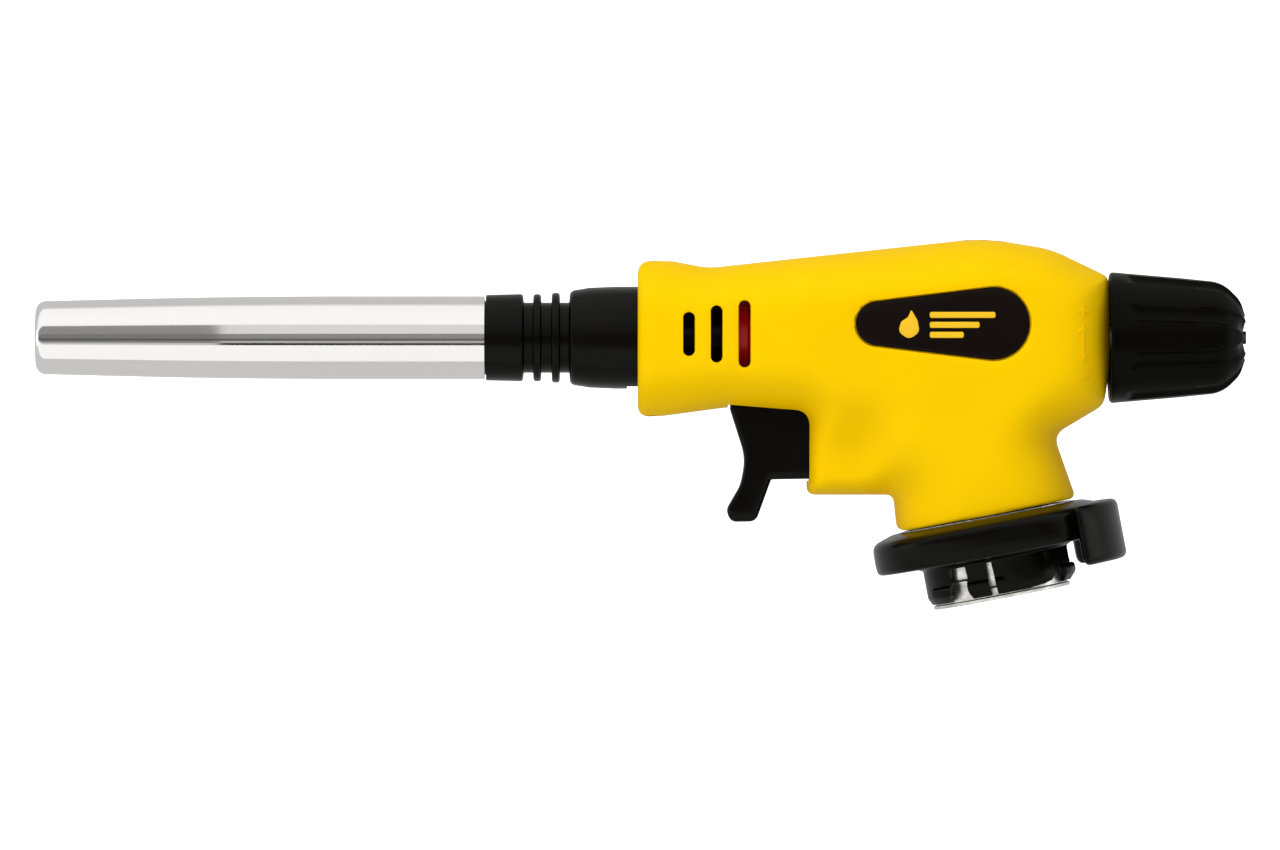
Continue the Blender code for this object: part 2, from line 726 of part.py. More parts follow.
def make_trigger():
    outline = rounded_outline(TRIGGER_CORNERS, spacing=20)
    trigger = prism("trigger", outline, -TRIGGER_HALF_WIDTH, TRIGGER_HALF_WIDTH, BLACK)
    join(trigger, box("trigger_stops", (-38.3, -7.3, 18.0), (-36.9, 7.3, 29.0)))
    cut(trigger, rod("spring_pocket", (-44.5, 0, TRIGGER_Z), (-36, 0, TRIGGER_Z), 3.9, 16))
    bore = PIEZO_X[0] + TRIGGER_TRAVEL + 3.0
    piezo = box(
        "piezo_body",
        (PIEZO_X[0], -PIEZO_HALF, TRIGGER_Z - PIEZO_HALF),
        (PIEZO_X[1], PIEZO_HALF, TRIGGER_Z + PIEZO_HALF),
        WHITE,
    )
    cut(piezo, rod("plunger_bore", (PIEZO_X[0] - 1, 0, TRIGGER_Z), (bore, 0, TRIGGER_Z), 2.35, 12))
    plunger = [(-44.2, 0), (-44.2, 2.0), (PIEZO_X[0] + 2, 2.0), (PIEZO_X[0] + 2, 0)]
    turned("piezo_plunger", plunger, BRASS, TRIGGER_LINE, 12)
    make_spring()


def make_spring():
    """The return spring round the plunger, from the trigger's pocket to the igniter."""
    start, end, mean, wire = -43.6, PIEZO_X[0] - 0.7, 3.05, 0.35
    per_turn = 10
    count = SPRING_TURNS * per_turn
    curve = bpy.data.curves.new("trigger_spring", "CURVE")
    curve.dimensions = "3D"
    curve.bevel_depth = wire * MM
    curve.bevel_resolution = 1
    curve.use_fill_caps = True
    line = curve.splines.new("POLY")
    line.points.add(count)
    for i in range(count + 1):
        angle = 2 * math.pi * i / per_turn
        place = Vector((start + (end - start) * i / count, mean * math.cos(angle), mean * math.sin(angle)))
        line.points[i].co = ((place + Vector((0, 0, TRIGGER_Z))) * MM).to_4d()
    curve.materials.append(STEEL)
    PARTS.objects.link(bpy.data.objects.new("trigger_spring", curve))


def make_lead():
    """The insulated high-voltage lead, clipped along the right shell from the igniter to the electrode."""
    route = [
        (-18.0, 5.6, 26.0),
        (-18.5, 8.0, 27.0),
        (-20.5, 9.6, 31.0),
        (-25.0, 10.2, 36.0),
        (-31.0, 10.4, 41.5),
        (-38.0, 10.6, 45.2),
        (-46.0, 10.6, 46.4),
        (-54.0, 10.4, 47.2),
        (-60.0, 9.6, 47.8),
        (-64.0, 7.6, 48.1),
        (-66.0, 6.2, 48.2),
        (-67.4, ELECTRODE_OFFSET, BARREL_Z),
    ]
    curve = bpy.data.curves.new("ignition_lead", "CURVE")
    curve.dimensions = "3D"
    curve.bevel_depth = 0.9 * MM
    curve.bevel_resolution = 1
    curve.use_fill_caps = True
    line = curve.splines.new("POLY")
    points = smooth_route(route, 2)
    line.points.add(len(points) - 1)
    for place, point in zip(line.points, points):
        place.co = (point * MM).to_4d()
    curve.materials.append(LEAD_RED)
    PARTS.objects.link(bpy.data.objects.new("ignition_lead", curve))


def smooth_route(route, steps):
    """A Catmull-Rom curve through the route's points."""
    knots = [Vector(p) for p in route]
    knots = [2 * knots[0] - knots[1], *knots, 2 * knots[-1] - knots[-2]]
    points = [knots[1]]
    for a, b, c, d in zip(knots, knots[1:], knots[2:], knots[3:]):
        for k in range(1, steps + 1):
            t = k / steps
            bend = (2 * a - 5 * b + 4 * c - d) * t**2 + (3 * b - a - 3 * c + d) * t**3
            points.append((2 * b + (c - a) * t + bend) / 2)
    return points


# Cartridge coupling.


def screw_circle(radius, low, high):
    ends = []
    for k in range(3):
        angle = math.radians(120 * k + 30)
        x, y = radius * math.cos(angle), radius * math.sin(angle)
        ends.append(((x, y, low), (x, y, high)))
    return ends


def make_coupling():
    circle = COUPLING_SCREW_CIRCLE
    stem = [
        (44.0, 3.0),
        (39.5, 3.0),
        (39.5, STEM_RADIUS),
        (13.6, STEM_RADIUS),
        (13.6, 13.0),
        (11.7, 13.0),
        (11.7, 10.1),
        (9.05, 10.1),
        (9.05, STEM_RADIUS),
        (-0.3, STEM_RADIUS),
        (-0.3, 2.8),
        (-5.0, 2.4),
        (-5.0, 1.8),
        (-2.0, 1.8),
        (-2.0, 1.2),
        (44.0, 1.2),
    ]
    inlet = turned("inlet_stem", stem, BRASS, COUPLING, 20)
    cut(inlet, rods("stem_threads", screw_circle(circle, 5, 13.2), 1.55, 10, parent=COUPLING))
    turned("inlet_filter", [(-4.4, 0), (-4.4, 1.5), (-2.4, 1.5), (-2.4, 0)], ZINC, COUPLING, 12)
    turned("inlet_seal", arc((-1.55, 4.0), 0.9, 0, 300, 5), RUBBER, COUPLING, 16)
    plate = turned("coupling_plate", tube_profile(7.5, 8.75, 19.0, 5.2), ZINC, COUPLING, 28)
    cut(plate, rods("plate_holes", screw_circle(circle, 5, 10), 1.6, 10, parent=COUPLING))
    make_hub(circle)
    make_cup(circle)
    for number, ends in enumerate(screw_circle(circle, 1.9, 12.8), 1):
        (x, y, low), (_, _, high) = ends
        screw = [(low, 0), (low, 2.3), (low + 1.5, 2.3), (low + 1.5, 1.2), (high, 1.2), (high, 0)]
        turned(f"coupling_screw_{number}", screw, STEEL, COUPLING, 10, (x, y))
    make_guide_ring()


def make_hub(circle):
    """The black hub inside the guide ring, with bayonet lugs and windows round its foot."""
    section = [
        (7.2, 5.3),
        (7.2, 19.3),
        (RING_SEAT_HEIGHT + GAP, 19.3),
        (RING_SEAT_HEIGHT + GAP, RING_BORE - GAP),
        (-0.3, RING_BORE - GAP),
        (-0.8, HUB_NECK_RADIUS),
        (HUB_BOTTOM + 1.2, HUB_NECK_RADIUS),
        (HUB_BOTTOM, HUB_NECK_RADIUS - 0.9),
        (HUB_BOTTOM, CUP_RADII[1] + GAP),
        (5.0, CUP_RADII[1] + GAP),
        (5.0, 5.3),
    ]
    hub = turned("coupling_hub", section, BLACK, COUPLING, 30)
    lug = [
        (-4.7, 15.6),
        (-4.7, HUB_LUG_RADIUS - 0.4),
        (-5.2, HUB_LUG_RADIUS),
        (-6.6, HUB_LUG_RADIUS),
        (-7.8, HUB_LUG_RADIUS - 0.8),
        (HUB_BOTTOM, 15.7),
        (HUB_BOTTOM, 15.6),
    ]
    lugs = turned("bayonet_lugs", lug, None, COUPLING, 30)
    gaps = radial_boxes("lug_gaps", (60, 180, 300), 16.0, 12.0, 20.0, -12.0, 0.0)
    join(hub, cut(lugs, gaps))
    for angle, width in WINDOWS:
        turns = [angle - 90 + 120 * k for k in range(3)]
        cut(hub, radial_boxes(f"window_{width}", turns, width, 14.0, 19.0, -10.0, -1.4))
    cut(hub, rods("hub_holes", screw_circle(circle, 4, 8), 1.6, 10, parent=COUPLING))


def radial_boxes(name, angles, width, inner, outer, low, high):
    """Boxes that point away from the coupling's axis, at angles in degrees from its +X."""
    form = bmesh.new()
    size = Matrix.Diagonal(((outer - inner) * MM, width * MM, (high - low) * MM, 1))
    place = Matrix.Translation(Vector(((inner + outer) / 2, 0, (low + high) / 2)) * MM)
    for angle in angles:
        turn = Matrix.Rotation(math.radians(angle), 4, "Z")
        bmesh.ops.create_cube(form, size=1, matrix=turn @ place @ size)
    return add(name, mesh_of(name, form), None, COUPLING)


def make_cup(circle):
    """The plated cup that takes the cartridge's valve, with a flat rim at its mouth."""
    section = [
        (4.7, 5.5),
        (4.7, CUP_RADII[1]),
        (HUB_BOTTOM - GAP, CUP_RADII[1]),
        (HUB_BOTTOM - GAP, CUP_RIM_RADIUS),
        (CUP_BOTTOM, CUP_RIM_RADIUS),
        (CUP_BOTTOM, CUP_RADII[0]),
        (3.7, CUP_RADII[0]),
        (3.7, 5.5),
    ]
    cup = turned("bayonet_cup", section, ZINC, COUPLING, 28)
    cut(cup, rods("cup_holes", screw_circle(circle, 2, 6), 1.6, 10, parent=COUPLING))


def make_guide_ring():
    """The ring that turns to lock a cartridge, with a thumb tab at its rear."""
    section = [
        (RING_HEIGHT, RING_SEAT_RADIUS),
        (RING_HEIGHT, RING_RADIUS - 3.3),
        (RING_HEIGHT - 0.9, RING_RADIUS - 1.1),
        (RING_HEIGHT - 2.6, RING_RADIUS - 0.1),
        (2.0, RING_RADIUS),
        (0.6, RING_RADIUS - 0.6),
        (0.0, RING_RADIUS - 2.0),
        (0.0, RING_BORE),
        (RING_SEAT_HEIGHT, RING_BORE),
        (RING_SEAT_HEIGHT, RING_SEAT_RADIUS),
    ]
    ring = turned("guide_ring", section, BLACK, COUPLING, 36)
    low, high = TAB_HEIGHTS
    inner, outer = TAB_RADII
    wall = [
        (high, inner + 0.8),
        (high, outer - 1.6),
        (high - 1.2, outer - 0.2),
        (high - 2.4, outer),
        (low + 2.0, outer),
        (low + 0.6, outer - 0.6),
        (low, outer - 1.6),
        (low, inner + 0.8),
        (low + 0.8, inner),
        (high - 1.6, inner),
    ]
    tab = turned("ring_tab", wall, None, COUPLING, 36)
    combine(tab, "INTERSECT", box("tab_limit", (TAB_FRONT, -30, -10), (35, 30, 12), None, COUPLING))
    join(ring, tab)


make_body()
make_flame_tube()
make_sleeve()
make_burner()
make_valve()
make_knob()
make_trigger()
make_lead()
make_coupling()
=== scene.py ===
"""Looks of the gas torch: studio, camera, finely shaped shells and fittings, and their materials.

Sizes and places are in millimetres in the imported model's own frame, and MM turns them into metres.
+X points to the valve knob, the muzzle is at -X, +Z is up, and -Y is the torch's left side. The
coupling has its own frame: its z lies along the cartridge axis, tilted by COUPLING_TILT.
"""

import math

import bmesh
import bpy
import numpy as np
from mathutils import Matrix, Vector
from mathutils.geometry import delaunay_2d_cdt


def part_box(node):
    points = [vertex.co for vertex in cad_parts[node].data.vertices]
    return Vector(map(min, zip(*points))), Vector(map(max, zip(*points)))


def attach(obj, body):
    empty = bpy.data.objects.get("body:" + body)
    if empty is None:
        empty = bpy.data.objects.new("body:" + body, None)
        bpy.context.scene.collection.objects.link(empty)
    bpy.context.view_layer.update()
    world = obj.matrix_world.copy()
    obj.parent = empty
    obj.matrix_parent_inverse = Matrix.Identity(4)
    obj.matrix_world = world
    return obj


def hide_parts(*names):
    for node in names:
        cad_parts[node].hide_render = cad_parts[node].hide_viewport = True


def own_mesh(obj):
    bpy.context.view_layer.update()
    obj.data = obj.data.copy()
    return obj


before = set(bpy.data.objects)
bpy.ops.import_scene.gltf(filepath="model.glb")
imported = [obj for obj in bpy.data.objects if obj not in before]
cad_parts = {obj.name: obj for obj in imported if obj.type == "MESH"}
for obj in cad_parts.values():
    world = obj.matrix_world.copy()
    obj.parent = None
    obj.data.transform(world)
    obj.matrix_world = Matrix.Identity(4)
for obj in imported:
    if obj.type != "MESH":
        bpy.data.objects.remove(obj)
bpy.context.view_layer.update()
MM = 0.001
COUPLING_TILT = math.radians(10.75)
COUPLING = Matrix.Rotation(-COUPLING_TILT, 4, "Y")
BARREL_Z = 48.2
BARREL = Matrix.Translation((0, 0, BARREL_Z * MM)) @ Matrix.Rotation(math.radians(90), 4, "Y")


def box_of(node):
    """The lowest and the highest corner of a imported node, in millimetres."""
    low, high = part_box(node)
    return low / MM, high / MM


# Camera and studio.

VIEW_CENTRE = Vector((-78.7, 0.0, 28.8))
VIEW_WIDTH = 284.4
LENS, SENSOR = 300.0, 36.0
BACKDROP_RADIUS = 7000.0
OFF_WHITE = (0.95, 0.95, 0.945)


def make_camera():
    camera = bpy.data.objects.new("camera", bpy.data.cameras.new("camera"))
    bpy.context.scene.collection.objects.link(camera)
    camera.data.type = "PERSP"
    camera.data.lens = LENS
    camera.data.sensor_width = SENSOR
    camera.data.clip_start = 0.01
    camera.data.clip_end = 20.0
    distance = VIEW_WIDTH * LENS / SENSOR
    camera.location = (VIEW_CENTRE - Vector((0, distance, 0))) * MM
    camera.rotation_euler = (math.radians(90), 0, 0)
    bpy.context.scene.camera = camera


def glowing(name, base, light, strength):
    """A dull stage surface with a base colour, which gives off light of another."""
    material = bpy.data.materials.new(name)
    material.use_nodes = True
    shader = material.node_tree.nodes["Principled BSDF"]
    shader.inputs["Base Color"].default_value = (*base, 1)
    shader.inputs["Roughness"].default_value = 0.9
    shader.inputs["Specular IOR Level"].default_value = 0.1
    shader.inputs["Emission Color"].default_value = (*light, 1)
    shader.inputs["Emission Strength"].default_value = strength
    return material


def make_backdrop():
    """A white shell far round the torch, so that it has the same plain background from every side."""
    small = 100.0  # it is turned small, where the helper's merge distance closes its poles, and then enlarged
    half_circle = arc((0, 0), small, 0, 180, 32)
    profile = [(small, 0), *half_circle[1:-1], (-small, 0)]
    mesh = turned("backdrop", profile, Matrix.Scale(BACKDROP_RADIUS / small, 4), 64)
    backdrop = bpy.data.objects.new("backdrop", mesh)
    backdrop.visible_diffuse = False
    bpy.context.scene.collection.objects.link(backdrop)
    mesh.materials.append(glowing("white_backdrop", OFF_WHITE, OFF_WHITE, 1.0))


TENT_RADIUS = 130.0
TENT_LENGTH = (-700.0, 500.0)  # from x, to x
TENT_SPLIT = -180.0  # the bands differ left and right of this x
TENT = (  # (from angle, to angle, brightness left of the split, right of it); 0 faces the camera, 90 is up
    (-180, -68, 0.60, 0.60),
    (-68, -21, 1.00, 1.00),
    (-21, -15, 0.55, 0.02),
    (-15, -9, 0.22, 0.44),
    (-9, -3, 0.10, 0.12),
    (-3, 10, 0.19, 0.26),
    (10, 35, 0.27, 0.72),
    (35, 98, 1.00, 1.00),
    (98, 104, 0.75, 0.75),
    (104, 180, 0.58, 0.58),
)


def make_tent():
    """Cards round the barrel that only shiny surfaces see. They draw the bands along its polished tube."""
    for number, (start, end, left_glow, right_glow) in enumerate(TENT, 1):
        angles = np.radians(np.linspace(start, end, 2 + abs(end - start) // 8))
        section = [(-math.cos(a) * TENT_RADIUS, BARREL_Z + math.sin(a) * TENT_RADIUS) for a in angles]
        sides = ((TENT_LENGTH[0], TENT_SPLIT, left_glow), (TENT_SPLIT, TENT_LENGTH[1], right_glow))
        for side, (low_x, high_x, glow) in zip(("left", "right"), sides):
            name = f"tent_{side}_{number}"
            mesh = bpy.data.meshes.new(name)
            vertices = [(x * MM, y * MM, z * MM) for y, z in section for x in (low_x, high_x)]
            faces = [(2 * i, 2 * i + 1, 2 * i + 3, 2 * i + 2) for i in range(len(section) - 1)]
            mesh.from_pydata(vertices, [], faces)
            card = bpy.data.objects.new(name, mesh)
            card.visible_camera = False
            card.visible_diffuse = False
            card.visible_shadow = False
            bpy.context.scene.collection.objects.link(card)
            mesh.materials.append(glowing(name, (0, 0, 0), (1, 1, 1), glow))


def make_lamp(name, place, target, size, watts):
    """A rectangular lamp that the camera doesn't see."""
    lamp = bpy.data.lights.new(name, "AREA")
    lamp.shape = "RECTANGLE"
    lamp.size, lamp.size_y = size[0] * MM, size[1] * MM
    lamp.energy = watts
    holder = bpy.data.objects.new(name, lamp)
    holder.visible_camera = False
    holder.location = Vector(place) * MM
    holder.rotation_euler = (Vector(target) - Vector(place)).to_track_quat("-Z", "Y").to_euler()
    bpy.context.scene.collection.objects.link(holder)
    return holder


def make_studio():
    bpy.context.scene.view_settings.view_transform = "Standard"
    world = bpy.data.worlds.new("studio")
    world.use_nodes = True
    world.node_tree.nodes["Background"].inputs["Color"].default_value = (1, 1, 1, 1)
    world.node_tree.nodes["Background"].inputs["Strength"].default_value = 0.5
    bpy.context.scene.world = world
    make_backdrop()
    middle = (-70.0, 0.0, 40.0)
    make_lamp("key", (-380, -600, 850), middle, (900, 500), 3.6)
    make_lamp("top", (-150, -300, 1000), middle, (900, 500), 2.7)
    fill = make_lamp("fill", (-380, -1000, -330), middle, (900, 700), 5.0)
    fill.visible_glossy = False
    make_tent()


# Materials, each with its colour, roughness and fine relief varied by noise.


class Finish:
    """A Principled material whose colour, roughness and bump come from noise in the object's own space."""

    def __init__(self, name, metallic=0.0, specular=0.5):
        self.material = bpy.data.materials.new(name)
        self.material.use_nodes = True
        self.nodes = self.material.node_tree.nodes
        self.link = self.material.node_tree.links.new
        self.shader = self.nodes["Principled BSDF"]
        self.shader.inputs["Metallic"].default_value = metallic
        self.shader.inputs["Specular IOR Level"].default_value = specular
        self.place = self.nodes.new("ShaderNodeTexCoord").outputs["Object"]

    def noise(self, size, detail=3.0, stretch=(1, 1, 1)):
        """Noise whose features are about size millimetres across, stretched along the axes."""
        mapping = self.nodes.new("ShaderNodeMapping")
        mapping.inputs["Scale"].default_value = [1 / (size * MM * s) for s in stretch]
        texture = self.nodes.new("ShaderNodeTexNoise")
        texture.inputs["Scale"].default_value = 1.0
        texture.inputs["Detail"].default_value = detail
        self.link(self.place, mapping.inputs["Vector"])
        self.link(mapping.outputs["Vector"], texture.inputs["Vector"])
        return texture.outputs["Fac"]

    def spread(self, value, low, high):
        """The middle of a noise, stretched to run from low to high."""
        ramp = self.nodes.new("ShaderNodeMapRange")
        ramp.inputs["From Min"].default_value = 0.3
        ramp.inputs["From Max"].default_value = 0.7
        ramp.inputs["To Min"].default_value = low
        ramp.inputs["To Max"].default_value = high
        self.link(value, ramp.inputs["Value"])
        return ramp.outputs["Result"]

    def colour(self, first, second, size, stretch=(1, 1, 1)):
        mixer = self.nodes.new("ShaderNodeMix")
        mixer.data_type = "RGBA"
        mixer.inputs["A"].default_value = (*first, 1)
        mixer.inputs["B"].default_value = (*second, 1)
        self.link(self.spread(self.noise(size, stretch=stretch), 0.0, 1.0), mixer.inputs["Factor"])
        self.link(mixer.outputs["Result"], self.shader.inputs["Base Color"])
        return self

    def roughness(self, low, high, size, stretch=(1, 1, 1)):
        value = self.spread(self.noise(size, stretch=stretch), low, high)
        self.link(value, self.shader.inputs["Roughness"])
        return self

    def relief(self, depth, size, stretch=(1, 1, 1)):
        """Bumps of depth millimetres."""
        bump = self.nodes.new("ShaderNodeBump")
        bump.inputs["Distance"].default_value = depth * MM
        bump.inputs["Strength"].default_value = 1.0
        self.link(self.noise(size, detail=2.0, stretch=stretch), bump.inputs["Height"])
        self.link(bump.outputs["Normal"], self.shader.inputs["Normal"])
        return self


def moulded(name, first, second, roughness, grain=0.004, specular=0.5):
    """Moulded plastic: a faint cloudiness in its colour, and the fine spark grain of its mould."""
    finish = Finish(name, specular=specular).colour(first, second, 18.0)
    return finish.roughness(roughness - 0.04, roughness + 0.06, 7.0).relief(grain, 0.45).material


def metal(name, first, second, low, high, size, stretch=(1, 1, 1), depth=0.003):
    finish = Finish(name, metallic=1.0).colour(first, second, size, stretch)
    return finish.roughness(low, high, size, stretch).relief(depth, size / 2, stretch).material


LONG = (25, 1, 1)  # drawn along the barrel
YELLOW = moulded("yellow_plastic", (0.98, 0.615, 0.0), (0.95, 0.585, 0.0), 0.4, specular=0.01)
BLACK = moulded("black_plastic", (0.0008, 0.0007, 0.0003), (0.0014, 0.0012, 0.0006), 0.24, specular=0.11)
KNOB_BLACK = moulded("knob_black", (0.0008, 0.0007, 0.0004), (0.0014, 0.0011, 0.0007), 0.34, 0.006, 0.055)
BADGE_BLACK = moulded("badge_black", (0.004, 0.002, 0.0012), (0.0055, 0.0032, 0.002), 0.32, 0.002, 0.08)
EMBLEM = moulded("emblem_yellow", (0.95, 0.56, 0.01), (0.91, 0.53, 0.01), 0.4, 0.002, 0.15)
CHROME = metal("polished_steel", (0.93, 0.92, 0.90), (0.89, 0.88, 0.86), 0.05, 0.10, 4.0, LONG, 0.0006)
STEEL = metal("steel", (0.55, 0.55, 0.55), (0.42, 0.42, 0.42), 0.28, 0.42, 1.5)
ZINC = metal("zinc_plate", (0.82, 0.81, 0.77), (0.60, 0.59, 0.55), 0.22, 0.42, 1.6, depth=0.03)
BRASS = metal("brass", (0.80, 0.58, 0.27), (0.66, 0.44, 0.18), 0.25, 0.40, 2.5)
RED = moulded("red_anodised", (0.9, 0.008, 0.01), (0.8, 0.005, 0.008), 0.3, 0.002, 0.4)
RUBBER = moulded("nitrile", (0.012, 0.012, 0.012), (0.02, 0.02, 0.02), 0.7)
CERAMIC = moulded("ceramic", (0.85, 0.83, 0.78), (0.78, 0.75, 0.69), 0.5, 0.01)
PIEZO = moulded("piezo_case", (0.80, 0.80, 0.78), (0.74, 0.74, 0.72), 0.5)
LEAD = moulded("silicone_lead", (0.45, 0.03, 0.02), (0.36, 0.02, 0.015), 0.55)


# Mesh helpers.

SHARP_ANGLE = 35.0  # edges that turn by more than this many degrees are shaded as sharp
LEAST_FILLET = 0.1  # of an outline's outward corners


def add(name, mesh, material, body="torch", stands_for=()):
    """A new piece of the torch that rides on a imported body."""
    piece = bpy.data.objects.new(name, mesh)
    bpy.context.scene.collection.objects.link(piece)
    mesh.materials.clear()
    mesh.materials.append(material)
    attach(piece, body)
    if stands_for:
        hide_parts(*stands_for)
    return piece


def mesh_from(name, vertices, faces, sharp=SHARP_ANGLE):
    """A smooth mesh from points in metres, with its normals turned outwards."""
    mesh = bpy.data.meshes.new(name)
    mesh.from_pydata([tuple(v) for v in vertices], [], [tuple(int(i) for i in f) for f in faces])
    return finished(mesh, sharp)


def finished(mesh, sharp=SHARP_ANGLE):
    form = bmesh.new()
    form.from_mesh(mesh)
    bmesh.ops.remove_doubles(form, verts=form.verts, dist=1e-7)
    bmesh.ops.recalc_face_normals(form, faces=form.faces)
    form.to_mesh(mesh)
    form.free()
    mesh.shade_smooth()
    mesh.set_sharp_from_angle(angle=math.radians(sharp))
    return mesh


def arc(centre, radius, start, end, steps):
    """Points on an arc, angles in degrees."""
    angles = [math.radians(start + (end - start) * i / steps) for i in range(steps + 1)]
    return [(centre[0] + radius * math.cos(a), centre[1] + radius * math.sin(a)) for a in angles]


def rounded(corners, spacing=1.2, closed=True):
    """An outline through (a, b, fillet radius) corners, with points spacing apart."""
    count = len(corners)
    sharp = [Vector(corner[:2]) for corner in corners]
    sides = [(sharp[(i + 1) % count] - sharp[i]).normalized() for i in range(count)]
    points = []
    for i, (_, _, radius) in enumerate(corners):
        ends = not closed and i in (0, count - 1)
        before, after = sides[i - 1], sides[i]
        if before.cross(after) > 0:
            radius = max(radius, LEAST_FILLET)
        turn = 0 if ends else math.atan2(before.cross(after), before.dot(after))
        room = 0.48 * min((sharp[i] - sharp[i - 1]).length, (sharp[(i + 1) % count] - sharp[i]).length)
        tangent = min(radius * math.tan(abs(turn) / 2), room)
        start, end = sharp[i] - before * tangent, sharp[i] + after * tangent
        if tangent < 1e-6:
            points.append(sharp[i])
            continue
        steps = max(2, math.ceil(max(abs(turn) / math.radians(11), (end - start).length / spacing)))
        for t in (step / steps for step in range(steps + 1)):
            points.append((1 - t) ** 2 * start + 2 * t * (1 - t) * sharp[i] + t**2 * end)
    divided = []
    for point, following in zip(points, points[1:] + points[:1]):
        pieces = max(1, math.ceil((following - point).length / spacing))
        divided += [point.lerp(following, k / pieces) for k in range(pieces)]
    if not closed:
        divided = divided[: divided.index(points[-1]) + 1]
    return np.array([tuple(p) for p in divided])


def distance(points, loop):
    """How far each point is from a closed outline."""
    nearest = np.full(len(points), np.inf)
    for start, end in zip(loop, np.roll(loop, -1, axis=0)):
        along = end - start
        t = np.clip((points - start) @ along / max(along @ along, 1e-12), 0, 1)
        nearest = np.minimum(nearest, np.hypot(*(points - start - t[:, None] * along).T))
    return nearest


def inside(points, loop):
    crossings = np.zeros(len(points), int)
    for (ax, az), (bx, bz) in zip(loop, np.roll(loop, -1, axis=0)):
        if az == bz:
            continue
        spans = (az > points[:, 1]) != (bz > points[:, 1])
        crossings += spans & (points[:, 0] < ax + (points[:, 1] - az) * (bx - ax) / (bz - az))
    return crossings % 2 == 1


def beside(loop, offset):
    """A closed outline's points moved inwards by offset, or outwards if it is negative."""
    along = np.roll(loop, -1, axis=0) - np.roll(loop, 1, axis=0)
    along /= np.linalg.norm(along, axis=1)[:, None]
    return loop + np.column_stack([-along[:, 1], along[:, 0]]) * offset


def scattered(loop, grid, rings, lines=(), holes=()):
    """Points that shape a surface: the lines, rings beside the outline, and a grid clear of the holes."""
    kept = list(lines)
    for offset in rings:
        ring = beside(loop, offset)
        kept.append(ring[inside(ring, loop) & (distance(ring, loop) > 0.93 * offset)])
    points = np.vstack(kept) if kept else np.empty((0, 2))
    low, high = loop.min(axis=0), loop.max(axis=0)
    rows = np.arange(low[1], high[1], grid * 0.87)
    columns = np.arange(low[0], high[0], grid)
    spread = [(x + grid / 2 * (j % 2), z) for j, z in enumerate(rows) for x in columns]
    spread = np.array(spread)
    spread = spread[inside(spread, loop)]
    clear = (max(rings) if rings else 0) + 0.5 * grid
    spread = spread[distance(spread, loop) > clear]
    for line in [*lines, *holes]:
        spread = spread[distance(spread, line) > 0.45 * grid]
    found = np.vstack([points, spread])
    for hole in holes:
        found = found[~inside(found, hole)]
    return found


def facing(side):
    """How height_solid places a flat point: on the XZ plane, with its height along Y towards one side."""

    def place(flat, height):
        return np.column_stack([flat[:, 0], side * height, flat[:, 1]])

    return place


def height_solid(name, loop, points, top, bottom, place, holes=()):
    """A closed solid over a flat outline. top and bottom give its two heights above points of the plane."""
    given, edges = [], []
    for line in [loop, *holes]:
        first = len(given)
        given += [Vector(p) for p in line]
        edges += [(first + i, first + (i + 1) % len(line)) for i in range(len(line))]
    given += [Vector(p) for p in points]
    flat, _, triangles, _, _, _ = delaunay_2d_cdt(given, edges, [], 0, 1e-4)
    flat = np.array([tuple(p) for p in flat])
    triangles = np.array(triangles)
    middles = flat[triangles].mean(axis=1)
    wanted = inside(middles, loop)
    for hole in holes:
        wanted &= ~inside(middles, hole)
    triangles = triangles[wanted]
    used = np.unique(triangles)
    flat, triangles = flat[used], np.searchsorted(used, triangles)
    ends = np.vstack([triangles[:, [0, 1]], triangles[:, [1, 2]], triangles[:, [2, 0]]])
    _, which, times = np.unique(np.sort(ends, axis=1), axis=0, return_index=True, return_counts=True)
    rim = ends[which[times == 1]]
    count = len(flat)
    walls = np.column_stack([rim[:, 0], rim[:, 0] + count, rim[:, 1] + count, rim[:, 1]])
    upper, lower = top(flat), bottom(flat)
    vertices = np.vstack([place(flat, upper), place(flat, lower)]) * MM
    return mesh_from(name, vertices, [*triangles, *(triangles[:, ::-1] + count), *walls])


def turned(name, profile, frame_of=BARREL, sides=96):
    """A turned mesh from (position along the axis, radius) points round its section."""
    profile = [(place, max(radius, 0.0)) for place, radius in profile]
    angles = np.arange(sides) * 2 * math.pi / sides
    rows = [np.column_stack([r * np.cos(angles), r * np.sin(angles), np.full(sides, p)]) for p, r in profile]
    count = len(profile)
    solid = profile[0][1] == 0 and profile[-1][1] == 0
    faces = []
    for i in range(count - 1 if solid else count):
        here, there = i * sides, (i + 1) % count * sides
        for k in range(sides):
            following = (k + 1) % sides
            faces.append((here + k, here + following, there + following, there + k))
    mesh = mesh_from(name, np.vstack(rows) * MM, faces)
    mesh.transform(frame_of)
    return mesh


def rod(start, end, radius, sides=48):
    """A hidden cylinder between two points, for cutting or joining."""
    start, end = Vector(start), Vector(end)
    form = bmesh.new()
    turn = (end - start).to_track_quat("Z", "Y").to_matrix().to_4x4()
    bmesh.ops.create_cone(
        form,
        cap_ends=True,
        segments=sides,
        radius1=radius * MM,
        radius2=radius * MM,
        depth=(end - start).length * MM,
        matrix=Matrix.Translation((start + end) / 2 * MM) @ turn,
    )
    return helper(form)


def block(low, high):
    low, high = Vector(low), Vector(high)
    size = Matrix.Diagonal(((high - low) * MM).to_4d())
    size[3][3] = 1
    form = bmesh.new()
    bmesh.ops.create_cube(form, size=1, matrix=Matrix.Translation((low + high) / 2 * MM) @ size)
    return helper(form)


def helper(form):
    mesh = bpy.data.meshes.new("helper")
    form.to_mesh(mesh)
    form.free()
    return bpy.data.objects.new("helper", mesh)


